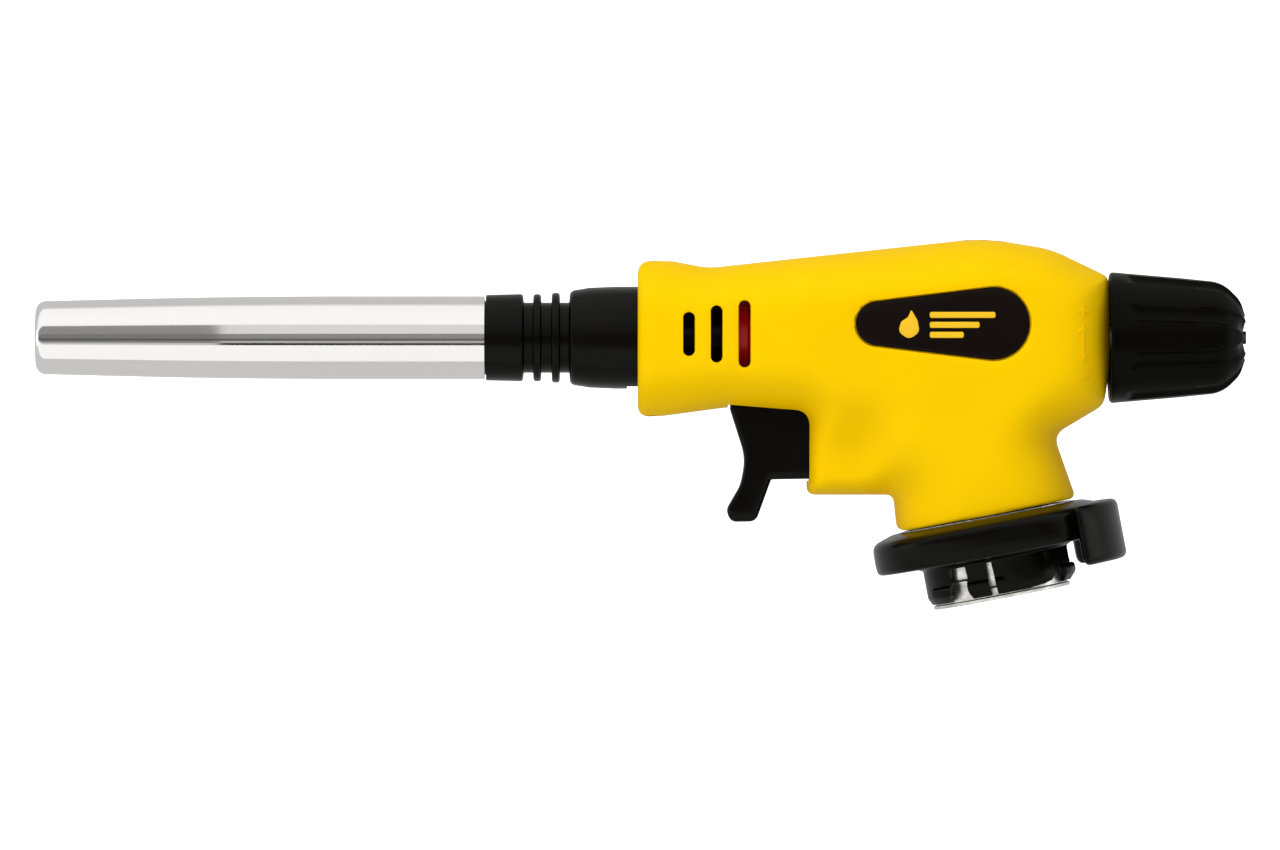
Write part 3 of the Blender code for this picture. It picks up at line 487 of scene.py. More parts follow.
def carved(piece, cutters, operation="DIFFERENCE"):
    """The piece with helpers cut from it or joined to it. The helpers are used up."""
    for cutter in cutters:
        bpy.context.scene.collection.objects.link(cutter)
        change = piece.modifiers.new("carve", "BOOLEAN")
        change.operation = operation
        change.solver = "EXACT"
        change.object = cutter
    graph = bpy.context.evaluated_depsgraph_get()
    mesh = bpy.data.meshes.new_from_object(piece.evaluated_get(graph))
    piece.modifiers.clear()
    mesh.shade_smooth()
    mesh.set_sharp_from_angle(angle=math.radians(SHARP_ANGLE))
    piece.data = mesh
    for cutter in cutters:
        bpy.data.objects.remove(cutter)
    return piece


def roll_off(depth, radius):
    """How far a rounded edge of that radius falls away, at each depth in from the edge."""
    out = radius - np.clip(depth, 0, radius)
    return radius - np.sqrt(radius**2 - out**2)


# Body shells.

BODY_FRONT_X, BODY_REAR_X = -79.2, 25.7
SEAM, SEAM_LAND, WALL = 0.15, 0.8, 2.2
FRONT_EDGE, FOOT_EDGE, RIM_EDGE = 3.0, 0.7, 0.45
BODY_WIDTHS = ((-79.2, 15.4), (-38.0, 18.2), (12.0, 18.2), (26.0, 17.0))  # (x, half-width)
COLUMN_HALF_WIDTH, HOUSING_HALF_WIDTH = 18.4, 11.5
BODY_CORNERS = (
    (BODY_FRONT_X, 30.6, 3.0),
    (-73.5, 30.8, 6.0),
    (-59.5, 32.7, 8.0),
    (-41.7, 31.4, 3.0),
    (-41.7, 13.3, 2.0),
    (-22.5, 13.3, 2.0),
    (-21.6, 5.06, 2.2),
    (18.1, 12.7, 1.8),
    (13.2, 26.6, 3.5),
    (24.3, 33.2, 4.0),
    (BODY_REAR_X, 42.0, 20.0),
    (BODY_REAR_X, 56.0, 20.0),
    (25.2, 61.8, 2.5),
    (12.5, 67.9, 28.0),
    (-2.5, 70.3, 45.0),
    (-63.5, 63.7, 12.0),
    (-71.5, 65.2, 10.0),
    (BODY_FRONT_X, 65.3, 3.2),
)
FOOT_FRONT, FOOT_REAR = 6, 7  # which corners stand on the coupling
EXTENSION = 20.0
VENT_SLOTS = ((-67.9, 9.7), (-61.8, 12.6), (-55.6, 14.8))  # (x, height)
VENT_WIDTH, VENT_Z = 2.6, 48.9
BADGE_Z = 51.2
BADGE_ENDS = ((-26.2, 4.9), (-0.7, 8.0))  # (x, radius)
BADGE_OUTSIDE, BADGE_THICKNESS = 18.1, 0.8
EMBLEM_MIDDLE_X = -10.9
GAP = 0.3
SCREW_PLACES = ((-47.5, 60.7), (16.5, 60.2), (-64.5, 36.8), (-33.5, 36.8), (7.5, 23.0))  # (x, z)
SCREW_SEAT, COUNTERBORE, CLEARANCE, BOSS = 8.5, 2.9, 1.6, 4.0
RIBS = ((-71.6, -70.0, 8.7), (-44.6, -43.2, 5.4), (2.0, 3.6, 6.4))  # (from x, to x, bore radius)
FRONT_WALL, FRONT_BORE = -76.7, 11.6


def side_corners():
    """The body outline with its front and foot moved away, so that only its long sides are rounded."""
    corners = [[x - EXTENSION * (x == BODY_FRONT_X), z, radius] for x, z, radius in BODY_CORNERS]
    for foot, above in ((FOOT_FRONT, FOOT_FRONT - 1), (FOOT_REAR, FOOT_REAR + 1)):
        start, end = Vector(corners[above][:2]), Vector(corners[foot][:2])
        corners[foot][:2] = end + (end - start).normalized() * EXTENSION
    return corners


SIDE_OUTLINE = rounded(side_corners(), spacing=4.0)


def ease(values, start, end):
    t = np.clip((values - start) / (end - start), 0, 1)
    return t * t * (3 - 2 * t)


def mix(a, b, t):
    return a + (b - a) * t


def plain_height(points, inset=0.0):
    """The body's half-width above each point of the XZ plane, before its front and foot are rounded."""
    x, z = points[:, 0], points[:, 1]
    barrel = np.full(len(points), BODY_WIDTHS[0][1])
    for (x0, w0), (x1, w1) in zip(BODY_WIDTHS, BODY_WIDTHS[1:]):
        barrel = np.where(x >= x0, mix(w0, w1, ease(x, x0, x1)), barrel)
    at_column, at_barrel = ease(x, -30, -19), ease(z, 21, 37)
    width = mix(mix(HOUSING_HALF_WIDTH, COLUMN_HALF_WIDTH, at_column), barrel, at_barrel)
    edge = mix(mix(3.5, 15.0, at_column), 10.0, at_barrel)
    depth = np.maximum(distance(points, SIDE_OUTLINE) - inset, 0)
    along = np.minimum(depth / (edge - inset / 2), 1)
    return SEAM_LAND + (width - inset - SEAM_LAND) * np.sqrt(1 - (1 - along) ** 2)


def body_height(points):
    """The body's outer surface: plain_height, eased where its roundings meet, with a round front and foot."""
    reach = np.minimum(0.4 * distance(points, SIDE_OUTLINE), 3.2)
    height = plain_height(points)
    around = [math.radians(30 * k) for k in range(12)]
    for a in around:
        offset = np.column_stack([reach * math.cos(a), reach * math.sin(a)])
        height = height + plain_height(points + offset) / len(around)
    height = height / 2 - roll_off(points[:, 0] - BODY_FRONT_X, FRONT_EDGE)
    (xa, za, _), (xb, zb, _) = BODY_CORNERS[FOOT_FRONT], BODY_CORNERS[FOOT_REAR]
    along = np.array([xb - xa, zb - za]) / math.hypot(xb - xa, zb - za)
    above_foot = (points - (xa, za)) @ np.array([-along[1], along[0]])
    return np.maximum(height - roll_off(above_foot, FOOT_EDGE), SEAM_LAND)


def capsule(x, z, width, height):
    """A slot with round ends, standing along Z."""
    radius, steps = width / 2, 14
    top = arc((x, z + height / 2 - radius), radius, 0, 180, steps)
    bottom = arc((x, z - height / 2 + radius), radius, 180, 360, steps)
    left = [(x - radius, z + t) for t in np.linspace(height / 2 - radius, radius - height / 2, 9)[1:-1]]
    right = [(x + radius, z + t) for t in np.linspace(radius - height / 2, height / 2 - radius, 9)[1:-1]]
    return np.array(top + left + bottom + right)


def circle(x, z, radius, steps=28):
    return np.array(arc((x, z), radius, 0, 360, steps)[:-1])


def teardrop(ends, z, grow=0.0):
    """The outline of two circles on one line and their common tangents."""
    (x_small, r_small), (x_large, r_large) = ends
    lean = math.degrees(math.asin((r_large - r_small) / (x_large - x_small)))
    large = arc((x_large, z), r_large + grow, -90 - lean, 90 + lean, 26)
    small = arc((x_small, z), r_small + grow, 90 + lean, 270 - lean, 18)
    points = []
    for start, end in ((large, small), (small, large)):
        points += start
        points += [tuple(Vector(start[-1]).lerp(Vector(end[0]), k / 18)) for k in range(1, 18)]
    return np.array(points)


def bore_height(points, radius, z):
    """Half the width of a round bore along X, at each point's height."""
    return np.sqrt(np.maximum(radius**2 - (points[:, 1] - z) ** 2, 0))


def shell_inside(points, loop):
    """The shell's inner surface: its cavity, with the screw bosses and the bored ribs left standing."""
    x = points[:, 0]
    cavity = np.where(distance(points, loop) > WALL, plain_height(points, WALL), SEAM)
    for start, end, bore in RIBS:
        rib = np.maximum(bore_height(points, bore, BARREL_Z), SEAM)
        cavity = np.where((x > start) & (x < end), np.minimum(rib, cavity), cavity)
    for place in SCREW_PLACES:
        cavity = np.where(np.hypot(*(points - place).T) < BOSS, SEAM, cavity)
    front = np.maximum(bore_height(points, FRONT_BORE, BARREL_Z), SEAM)
    return np.where(x < FRONT_WALL, front, cavity)


def shell_mesh(side, screwed):
    """One half of the body. The screwed half has the counterbores that the screws go in from."""
    loop = rounded(BODY_CORNERS)
    recess = teardrop(BADGE_ENDS, BADGE_Z, GAP)
    vents = [capsule(x, VENT_Z, VENT_WIDTH, height) for x, height in VENT_SLOTS]
    holes = vents + ([circle(*place, CLEARANCE, 16) for place in SCREW_PLACES] if screwed else [])
    seats = [circle(*place, COUNTERBORE) for place in SCREW_PLACES] if screwed else []
    lines = [recess, beside(recess, 0.03), *seats, *(beside(seat, 0.03) for seat in seats)]
    lines += [circle(*place, BOSS, 20) for place in SCREW_PLACES]
    softened = [*vents, recess, *seats]
    lines += [beside(edge, -offset) for edge in softened for offset in (0.15, RIM_EDGE)]
    points = scattered(loop, 1.5, (0.06, 0.25, 0.6, 1.15, 2.0, 3.1), lines, holes)
    level = BADGE_OUTSIDE - BADGE_THICKNESS - GAP

    def top(flat):
        height = body_height(flat)
        for edge in softened:
            height = height - np.where(inside(flat, edge), 0, roll_off(distance(flat, edge), RIM_EDGE))
        height = np.where(inside(flat, beside(recess, 0.015)), level, height)
        for seat in seats:
            height = np.where(inside(flat, beside(seat, 0.015)), SCREW_SEAT, height)
        return height

    def bottom(flat):
        return np.minimum(shell_inside(flat, loop), top(flat) - 0.5)

    return height_solid("shell", loop, points, top, bottom, facing(side), holes)


TRIGGER_OPENING = ((-59.2, -6.4, 16.4), (-36.8, 6.4, 35.2))  # two opposite corners
TRIGGER_WELL = ((-38.9, -7.7, 16.2), (-30.6, 7.7, 32.5))


def make_shells():
    for name, side in (("body_shell_left", -1), ("body_shell_right", 1)):
        mesh = shell_mesh(side, screwed=side > 0)
        shell = add(f"{name}_moulding", mesh, YELLOW, stands_for=[name])
        cutters = [
            block(*TRIGGER_OPENING),
            block(*TRIGGER_WELL),
            rod((20, 0, BARREL_Z), (30, 0, BARREL_Z), 4.0),
            rod(COUPLING @ Vector((0, 0, 3)), COUPLING @ Vector((0, 0, 11.4)), 10.4),
        ]
        carved(shell, cutters)


def raised(name, loop, side, base, rise, material):
    """A low raised shape on a face. base gives the face's height at each point."""
    edge = 0.12

    def top(flat):
        return base(flat) + rise - roll_off(distance(flat, loop), edge)

    def bottom(flat):
        return base(flat) - 0.25

    points = scattered(loop, 1.0, (edge / 3, edge))
    return add(name, height_solid(name, loop, points, top, bottom, facing(side)), material)


def bar(x0, x1, z0, z1, radius=0.4):
    return rounded(((x0, z0, radius), (x1, z0, radius), (x1, z1, radius), (x0, z1, radius)), spacing=0.5)


FLAME = (
    (-19.4, 47.6, 1.8),
    (-17.0, 49.3, 1.6),
    (-17.5, 51.9, 1.4),
    (-18.9, 54.3, 0.3),
    (-19.6, 52.6, 0.8),
    (-21.1, 51.6, 0.9),
    (-21.8, 49.4, 1.6),
)


def emblem_outlines():
    """A made-up mark: a small flame and three bars that get shorter."""
    outlines = [rounded(FLAME, spacing=0.4)]
    for row, length in enumerate((14.5, 11.0, 7.5)):
        z = 52.4 - 2.2 * row
        outlines.append(bar(-14.8, -14.8 + length, z, z + 1.35, 0.5))
    return outlines


def badge_face(flat):
    return np.full(len(flat), BADGE_OUTSIDE)


def make_badges():
    for name, side in (("badge_left", -1), ("badge_right", 1)):
        loop = teardrop(BADGE_ENDS, BADGE_Z)
        points = scattered(loop, 2.5, (0.1, 0.3, 0.6))

        def top(flat, loop=loop):
            return BADGE_OUTSIDE - roll_off(distance(flat, loop), 0.6)

        def bottom(flat):
            return np.full(len(flat), BADGE_OUTSIDE - BADGE_THICKNESS)

        mesh = height_solid(name, loop, points, top, bottom, facing(side))
        add(f"{name}_plate", mesh, BADGE_BLACK, stands_for=[name])
        for number, outline in enumerate(emblem_outlines(), 1):
            if side > 0:
                outline = outline[::-1] * (-1, 1) + (2 * EMBLEM_MIDDLE_X, 0)
            raised(f"{name}_emblem_{number}", outline, side, badge_face, 0.14, EMBLEM)


def mark_outlines():
    """Moulded marks beside the knob: a plus, a double arrow and a minus."""
    x, thin = 19.2, 0.32
    plus = bar(x - 1.3, x + 1.3, 53.6, 53.6 + 2 * thin, 0.1), bar(x - thin, x + thin, 52.6, 55.2, 0.1)
    minus = (bar(x - 1.3, x + 1.3, 39.0, 39.0 + 2 * thin, 0.1),)
    shaft = (bar(x - thin, x + thin, 44.2, 49.4, 0.1),)
    heads = []
    for tip, base in ((51.0, 49.3), (42.6, 44.3)):
        corners = [(x - 1.2, base, 0.1), (x + 1.2, base, 0.1), (x, tip, 0.1)]
        heads.append(rounded(corners if tip > base else corners[::-1], spacing=0.5))
    return [*plus, *minus, *shaft, *heads]


def make_marks():
    for number, outline in enumerate(mark_outlines(), 1):
        raised(f"knob_mark_{number}", outline, -1, body_height, 0.22, YELLOW)


def make_screws():
    """Pan-head screws with a cross recess, seated in the right shell."""
    for number, (x, z) in enumerate(SCREW_PLACES, 1):
        seat, head = SCREW_SEAT + GAP, 2.0
        crown = arc((seat + 0.9, 1.5), 1.1, 90, 0, 6)
        profile = [(seat + head, 0)] + [(place, radius) for place, radius in crown[::-1]]
        profile += [(seat, 2.6), (seat, 1.2)]
        for turn in range(12):
            profile += [(seat - 1 - turn, 1.2), (seat - 1.5 - turn, 0.95)]
        profile += [(-7.0, 0.9), (-7.6, 0.0)]
        stand = Matrix.Translation((x * MM, 0, z * MM)) @ Matrix.Rotation(math.radians(-90), 4, "X")
        mesh = turned("screw", profile, stand, 40)
        screw = add(f"case_screw_{number}", mesh, STEEL, stands_for=[f"shell_screw_{number}"])
        low, arm, half = seat + head - 1.2, 1.35, 0.28
        cross = [block((x - arm, low, z - half), (x + arm, low + 3, z + half))]
        cross.append(block((x - half, low, z - arm), (x + half, low + 3, z + arm)))
        carved(screw, cross)


# Flame tube, its holder and the collar behind the vents.


def smooth_line(knots):
    """A Catmull-Rom curve through (position, radius) knots."""
    steps = 8
    knots = [Vector(knot) for knot in knots]
    knots = [2 * knots[0] - knots[1], *knots, 2 * knots[-1] - knots[-2]]
    points = [tuple(knots[1])]
    for a, b, c, d in zip(knots, knots[1:], knots[2:], knots[3:]):
        for t in (k / steps for k in range(1, steps + 1)):
            bend = (2 * a - 5 * b + 4 * c - d) * t**2 + (3 * b - a - 3 * c + d) * t**3
            points.append(tuple((2 * b + (c - a) * t + bend) / 2))
    return points


def make_tube():
    low, high = box_of("flame_tube")
    muzzle, rear, wall = low.x, high.x, 0.7
    body = smooth_line([(rear, 9.2), (-134, 9.2), (-154, 9.18), (-176, 8.95), (-198.7, 8.45), (-210.6, 8.15)])
    lip = arc((muzzle + 2.2, 5.95), 2.2, 90, 180, 12)
    mouth = arc((muzzle + 1.0, 5.75), 0.35, 180, 270, 4)
    inside_lip = arc((muzzle + 2.2, 5.95), 1.4, 170, 90, 6)
    inner = [(place, radius - wall) for place, radius in reversed(body)]
    mesh = turned("flame_tube", body + lip + mouth + inside_lip + inner, sides=160)
    add("flame_tube_chromed", mesh, CHROME, stands_for=["flame_tube"])


SLEEVE_CORNERS = (
    (-128.0, 7.8, 0.0),
    (-127.4, 8.2, 0.3),
    (-112.9, 8.2, 0.0),
    (-112.9, 9.5, 0.25),
    (-104.7, 9.72, 0.8),
    (-104.5, 7.8, 0.3),
    (-102.4, 7.8, 0.3),
    (-102.4, 9.7, 0.75),
    (-100.65, 9.7, 0.75),
    (-100.65, 7.8, 0.3),
    (-98.3, 7.8, 0.3),
    (-98.3, 10.0, 0.75),
    (-96.5, 10.0, 0.75),
    (-96.5, 7.8, 0.3),
    (-94.4, 7.8, 0.3),
    (-94.3, 10.4, 1.5),
    (-90.0, 11.1, 6.0),
    (-84.0, 11.35, 6.0),
    (-76.7, 11.35, 0.0),
    (-76.7, 12.6, 0.0),
    (-73.9, 12.6, 0.0),
    (-73.9, 9.0, 0.0),
    (-72.2, 9.0, 0.0),
    (-72.2, 8.2, 0.0),
    (-59.8, 8.2, 0.3),
    (-59.8, 6.8, 0.0),
    (-128.0, 6.8, 0.0),
)


def make_sleeve():
    profile = rounded(SLEEVE_CORNERS[::-1], spacing=3.0)
    mesh = turned("tube_sleeve", profile, sides=144)
    sleeve = add("tube_sleeve_moulding", mesh, BLACK, stands_for=["tube_sleeve"])
    notch = block((-81.6, -3.4, 33.0), (-78.6, 3.4, 39.3))
    lead_slot = block((-69.2, 2.0, 46.4), (-59.0, 12.0, 49.8))
    boss_key = block((-69.2, -9.0, 38.0), (-59.0, 9.0, 42.0))
    carved(sleeve, [notch, lead_slot, boss_key])
    outline = bar(-81.3, -79.0, 37.9, 39.4, 0.3)

    def half_width(flat):
        return 1.7 - roll_off(distance(flat, outline), 0.3)

    points = scattered(outline, 0.6, (0.1, 0.3))
    key = height_solid("key", outline, points, half_width, lambda flat: -half_width(flat), facing(1))
    add("sleeve_key", key, STEEL, stands_for=["sleeve_pin"])


def make_collar():
    """The red collar behind the last vent slot, with two turned grooves."""
    corners = [(-46.4, 3.4, 0), (-46.4, 8.0, 0.7)]
    for middle in (-50.0, -54.0):
        corners += [(middle + 0.8, 8.0, 0.15), (middle + 0.5, 7.1, 0.15)]
        corners += [(middle - 0.5, 7.1, 0.15), (middle - 0.8, 8.0, 0.15)]
    corners += [(-57.6, 8.0, 0.5), (-57.6, 3.4, 0)]
    profile = rounded(corners, spacing=2.0)
    mesh = turned("mixer_bush", profile, sides=96)
    add("mixer_collar", mesh, RED, stands_for=["mixer_bush"])


# Knob.

FLUTES, FLUTE_HALF, FLUTE_DEPTH = 8, 1.9, 1.05
BUTTON_RADIUS = 1.35
KNOB_PROFILE = (
    (25.5, 12.4, 0.0),
    (25.5, 14.6, 1.3),
    (41.3, 13.25, 12.0),
    (50.6, 12.3, 9.0),
    (54.6, 8.4, 6.5),
    (56.25, 3.4, 6.0),
    (56.0, 0.0, 0.0),
)


KNOB_BUTTON = ((55.9, 1.6), (55.9, 1.45), (55.9, 1.42), (55.9, 1.25), (55.9, 0.9), (56.0, 0.0))
KNOB_HOLLOW = (
    (46.0, 0.0),
    (46.0, 2.7),
    (28.0, 2.7),
    (28.0, 5.0),
    (40.0, 5.4),
    (40.0, 10.6),
    (25.5, 12.0),
)


def make_knob():
    """A domed knob: one skin whose flutes fade in behind the rim and meet round a small button."""
    outer = rounded(KNOB_PROFILE[::-1], spacing=0.45, closed=False)[::-1]
    button = outer[:, 1] < BUTTON_RADIUS + 0.35
    outer = outer[~(button & (outer[:, 0] > 50))]
    outer = np.vstack([outer, KNOB_BUTTON])
    sides = 256
    angles = np.arange(sides) * 2 * math.pi / sides
    step = 2 * math.pi / FLUTES
    from_flute = np.abs((angles % step) - step / 2)
    slopes = np.gradient(outer, axis=0)
    slopes /= np.linalg.norm(slopes, axis=1)[:, None]
    rows = []
    for (x, radius), (dx, dr) in zip(outer, slopes):
        across = from_flute * radius / FLUTE_HALF
        depth = FLUTE_DEPTH * np.sqrt(np.clip(1 - across**2, 0, 1)) * ease(np.array(x), 28.9, 31.6)
        depth = depth * (radius > BUTTON_RADIUS + 0.09)
        rows.append(np.column_stack([x + depth * dr, radius - depth * dx, angles]))
    rows += [np.column_stack([np.full(sides, x), np.full(sides, r), angles]) for x, r in KNOB_HOLLOW]
    vertices = [np.column_stack([r * np.cos(a), r * np.sin(a), x]) for x, r, a in (row.T for row in rows)]
    faces = []
    for i in range(len(rows)):
        if i == len(outer) - 1:
            continue  # this row and the next are both points on the axis
        here, there = i * sides, (i + 1) % len(rows) * sides
        for k in range(sides):
            following = (k + 1) % sides
            faces.append((here + k, here + following, there + following, there + k))
    mesh = mesh_from("gas_knob", np.vstack(vertices) * MM, faces, 50)
    mesh.transform(BARREL)
    add("gas_knob_moulding", mesh, KNOB_BLACK, "knob", ["gas_knob"])


# Trigger.

TRIGGER_CORNERS = (
    (-58.6, 7.3, 2.4),
    (-53.0, 7.4, 2.2),
    (-49.6, 16.7, 0.5),
    (-37.8, 16.9, 0.5),
    (-37.8, 32.2, 0.5),
    (-42.7, 32.2, 0.5),
    (-42.7, 34.6, 0.5),
    (-58.6, 34.6, 0.5),
    (-58.7, 32.2, 1.0),
    (-55.3, 21.5, 14.0),
    (-56.4, 15.5, 8.0),
    (-59.6, 10.0, 2.5),
)
TRIGGER_Z = 23.5


def make_trigger():
    loop = rounded(TRIGGER_CORNERS, spacing=0.9)

    def half_width(flat):
        return 6.0 - roll_off(distance(flat, loop), 1.3)

    points = scattered(loop, 1.5, (0.1, 0.35, 0.75, 1.3))
    mesh = height_solid("trigger", loop, points, half_width, lambda flat: -half_width(flat), facing(1))
    trigger = add("trigger_moulding", mesh, BLACK, "trigger", ["trigger"])
    carved(trigger, [block((-38.3, -7.3, 18.0), (-36.9, 7.3, 29.0))], "UNION")
    carved(trigger, [rod((-44.5, 0, TRIGGER_Z), (-36, 0, TRIGGER_Z), 3.9)])


SPRING_TURNS, SPRING_RADIUS, SPRING_WIRE, TRIGGER_TRAVEL = 5, 3.05, 0.35, 5.5


def make_spring():
    """The trigger's return spring. It stands on the igniter."""
    low, high = box_of("trigger_spring")
    start, end = low[0] + SPRING_WIRE, high[0] - SPRING_WIRE
    per_turn = 32
    curve = bpy.data.curves.new("spring", "CURVE")
    curve.dimensions = "3D"
    curve.bevel_depth = SPRING_WIRE * MM
    curve.bevel_resolution = 3
    curve.use_fill_caps = True
    line = curve.splines.new("POLY")
    count = SPRING_TURNS * per_turn
    line.points.add(count)
    for i, point in enumerate(line.points):
        angle = 2 * math.pi * i / per_turn
        x = mix(start, end, i / count)
        y, z = SPRING_RADIUS * math.cos(angle), TRIGGER_Z + SPRING_RADIUS * math.sin(angle)
        point.co = (x * MM, y * MM, z * MM, 1)
    mesh = finished(bpy.data.meshes.new_from_object(bpy.data.objects.new("spring", curve)), 60)
    spring = add("trigger_spring_wire", mesh, STEEL, stands_for=["trigger_spring"])
    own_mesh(spring)


# Coupling.

RING_RADIUS, RING_HEIGHT, RING_BORE = 26.4, 8.6, 17.6
TAB_RADII, TAB_FRONT, TAB_HEIGHTS, TAB_EDGE = (25.4, 29.0), 18.5, (-5.9, 7.5), 1.5
HUB_BOTTOM, HUB_NECK, HUB_LUG, CUP_OUTSIDE = -8.5, 16.25, 17.3, 14.8
WINDOW_REACH = (13.0, 19.5)
SCREW_CIRCLE, SCREW_HOLE = 8.0, 1.6


def make_ring():
    corners = (
        (RING_HEIGHT, 19.7, 0.4),
        (RING_HEIGHT - 0.1, 21.5, 4.0),
        (6.9, RING_RADIUS - 0.1, 2.6),
        (2.6, RING_RADIUS, 2.0),
        (0.0, RING_RADIUS - 0.2, 2.0),
        (0.0, RING_BORE, 0.3),
        (4.2, RING_BORE, 0.0),
        (4.2, 19.7, 0.0),
    )
    profile = rounded(corners[::-1], spacing=2.0)
    mesh = turned("guide_ring", profile, COUPLING, 180)
    ring = add("guide_ring_moulding", mesh, BLACK, "locking_ring", ["guide_ring"])
    half = 22.3
    loop = bar(-half, half, *TAB_HEIGHTS, 2.2)

    def spread(flat, radius):
        turn = flat[:, 0] / half * np.arccos(TAB_FRONT / radius)
        return np.column_stack([radius * np.cos(turn), radius * np.sin(turn), flat[:, 1]])

    def outside(flat):
        return TAB_RADII[1] - roll_off(distance(flat, loop), TAB_EDGE)

    def within(flat):
        return TAB_RADII[0] + roll_off(distance(flat, loop), 0.8)

    points = scattered(loop, 1.6, (0.12, 0.4, 0.8, 1.5))
    tab = height_solid("tab", loop, points, outside, within, spread)
    tab.transform(COUPLING)
    joined(ring, tab)


def joined(piece, mesh):
    """Adds a second closed body to a piece's mesh."""
    form = bmesh.new()
    form.from_mesh(piece.data)
    form.from_mesh(mesh)
    form.to_mesh(piece.data)
    form.free()
    bpy.data.meshes.remove(mesh)  # and with it the object that held it, if there was one


def window(angle, outline):
    """A cutter that points away from the cartridge axis, with an outline of (sideways, up) corners."""
    form = bmesh.new()
    loops = [[form.verts.new((reach * MM, u * MM, v * MM)) for u, v in outline] for reach in WINDOW_REACH]
    form.faces.new(loops[0][::-1])
    form.faces.new(loops[1])
    for i in range(len(outline)):
        j = (i + 1) % len(outline)
        form.faces.new((loops[0][i], loops[0][j], loops[1][j], loops[1][i]))
    bmesh.ops.recalc_face_normals(form, faces=form.faces)
    cutter = helper(form)
    cutter.data.transform(COUPLING @ Matrix.Rotation(math.radians(angle), 4, "Z"))
    return cutter


LEFT_POST = (
    (-4.9, -9.5),
    (2.2, -9.5),
    (2.0, -5.0),
    (1.4, -4.3),
    (-2.2, -4.3),
    (-2.5, -5.0),
    (-2.8, -7.0),
    (-3.8, -8.0),
    (-4.9, -8.3),
)
LEFT_SLOT = ((-2.7, -3.9), (1.9, -3.9), (1.7, -1.2), (-2.3, -1.2))
NARROW_FOOT = ((-1.2, -9.5), (0.3, -9.5), (0.2, -6.9), (-1.2, -6.9))
NARROW_SLOT = ((-1.35, -6.5), (0.15, -6.5), (-0.1, -1.2), (-1.2, -1.2))
RIGHT_FOOT = (
    (-6.5, -9.5),
    (3.3, -9.5),
    (2.9, -6.8),
    (2.3, -5.3),
    (1.2, -4.8),
    (0.1, -5.2),
    (-0.6, -6.6),
    (-1.4, -7.6),
    (-3.5, -8.1),
    (-6.5, -8.3),
)
SIGHT_LINE = ((0.05, -3.7), (1.65, -3.7), (1.65, -1.0), (0.05, -1.0))
WINDOW_SHAPES = (  # (angle from the left side, how many thirds of a turn repeat it, outline)
    (-33.0, 3, LEFT_POST),
    (-33.0, 3, LEFT_SLOT),
    (-5.0, 3, NARROW_FOOT),
    (-5.0, 3, NARROW_SLOT),
    (50.0, 2, RIGHT_FOOT),
    (40.0, 2, SIGHT_LINE),
)


def window_cutters():
    cutters = []
    for angle, copies, outline in WINDOW_SHAPES:
        cutters += [window(angle - 90 + 120 * k, outline) for k in range(copies)]
    return cutters


def coupling_screw_holes(low, high):
    """Cutters for the coupling's three screws, between two heights in its own frame."""
    holes = []
    for angle in (math.radians(120 * k + 30) for k in range(3)):
        x, y = SCREW_CIRCLE * math.cos(angle), SCREW_CIRCLE * math.sin(angle)
        holes.append(rod(COUPLING @ Vector((x, y, low)), COUPLING @ Vector((x, y, high)), SCREW_HOLE, 20))
    return holes


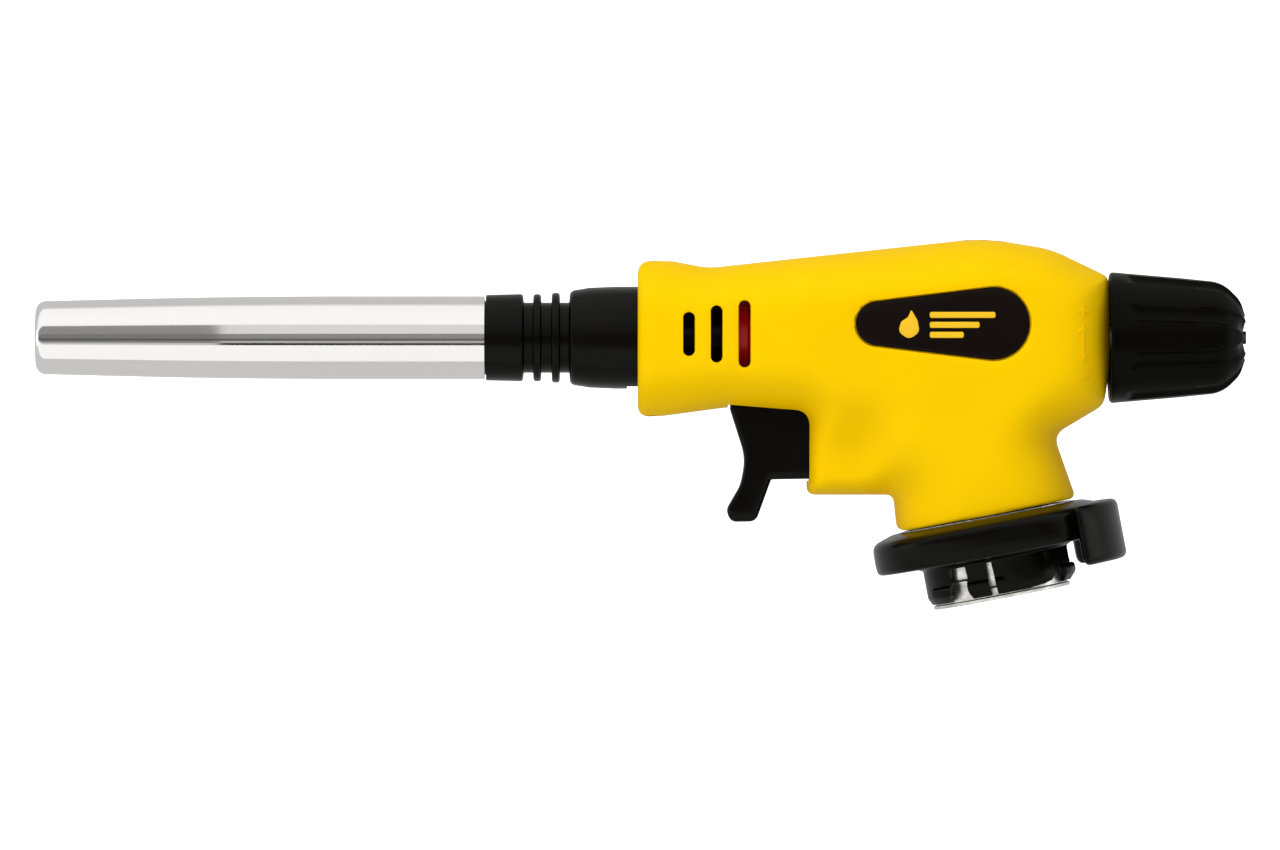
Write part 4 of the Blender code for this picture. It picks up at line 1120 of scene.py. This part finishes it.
def make_hub():
    """The black hub and its bayonet lugs. Each is cut by the windows, and then they become one piece."""
    corners = (
        (7.2, 5.3, 0.0),
        (7.2, 19.3, 0.3),
        (4.5, 19.3, 0.3),
        (4.5, 17.3, 0.0),
        (-0.3, 17.3, 0.3),
        (-0.8, HUB_NECK, 0.3),
        (-7.0, HUB_NECK, 1.5),
        (HUB_BOTTOM, 15.5, 0.3),
        (HUB_BOTTOM, CUP_OUTSIDE + GAP, 0.0),
        (5.0, CUP_OUTSIDE + GAP, 0.0),
        (5.0, 5.3, 0.0),
    )
    profile = rounded(corners[::-1], spacing=3.0)
    mesh = turned("hub", profile, COUPLING, 150)
    hub = add("coupling_hub_moulding", mesh, BLACK, stands_for=["coupling_hub"])
    lug_corners = (
        (-4.7, 15.4, 0.0),
        (-4.7, HUB_LUG, 1.0),
        (-6.8, HUB_LUG, 1.6),
        (HUB_BOTTOM, 15.7, 0.5),
        (HUB_BOTTOM, 15.4, 0.0),
    )
    lug_profile = rounded(lug_corners[::-1], spacing=3.0)
    lugs = bpy.data.objects.new("lugs", turned("lugs", lug_profile, COUPLING, 150))
    bpy.context.scene.collection.objects.link(lugs)
    gaps = [window(angle, ((-8, -12), (8, -12), (8, 0), (-8, 0))) for angle in (60, 180, 300)]
    carved(lugs, gaps + window_cutters())
    carved(hub, window_cutters())
    joined(hub, lugs.data)
    carved(hub, coupling_screw_holes(4, 8))


def make_cup():
    """The plated cup, whose flat rim holds the point where the cartridge rests."""
    corners = (
        (4.7, 5.5, 0.0),
        (4.7, CUP_OUTSIDE, 0.8),
        (HUB_BOTTOM - GAP, CUP_OUTSIDE, 0.2),
        (HUB_BOTTOM - GAP, 15.4, 0.2),
        (-9.6, 15.3, 0.15),
        (-9.6, 13.8, 0.8),
        (3.7, 13.8, 0.8),
        (3.7, 5.5, 0.0),
    )
    profile = rounded(corners[::-1], spacing=2.0)
    mesh = turned("cup", profile, COUPLING, 150)
    cup = add("bayonet_cup_pressing", mesh, ZINC, stands_for=["bayonet_cup"])
    carved(cup, coupling_screw_holes(2, 6))


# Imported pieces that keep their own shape.

KEPT = {
    "mixing_tube": BRASS,
    "burner_head": BRASS,
    "electrode_wire": STEEL,
    "electrode_insulator": CERAMIC,
    "ignition_lead": LEAD,
    "valve_block": BRASS,
    "gas_jet": BRASS,
    "gland_nut": BRASS,
    "gland_o_ring": RUBBER,
    "valve_needle": STEEL,
    "valve_spindle": STEEL,
    "inlet_stem": BRASS,
    "inlet_seal": RUBBER,
    "inlet_filter": ZINC,
    "coupling_plate": ZINC,
    "coupling_screw_1": STEEL,
    "coupling_screw_2": STEEL,
    "coupling_screw_3": STEEL,
    "piezo_body": PIEZO,
    "piezo_plunger": BRASS,
}


def finish_kept():
    for node, material in KEPT.items():
        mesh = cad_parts[node].data
        mesh.materials.clear()
        mesh.materials.append(material)


make_camera()
make_studio()
make_shells()
make_badges()
make_marks()
make_screws()
make_tube()
make_sleeve()
make_collar()
make_knob()
make_trigger()
make_spring()
make_ring()
make_hub()
make_cup()
finish_kept()
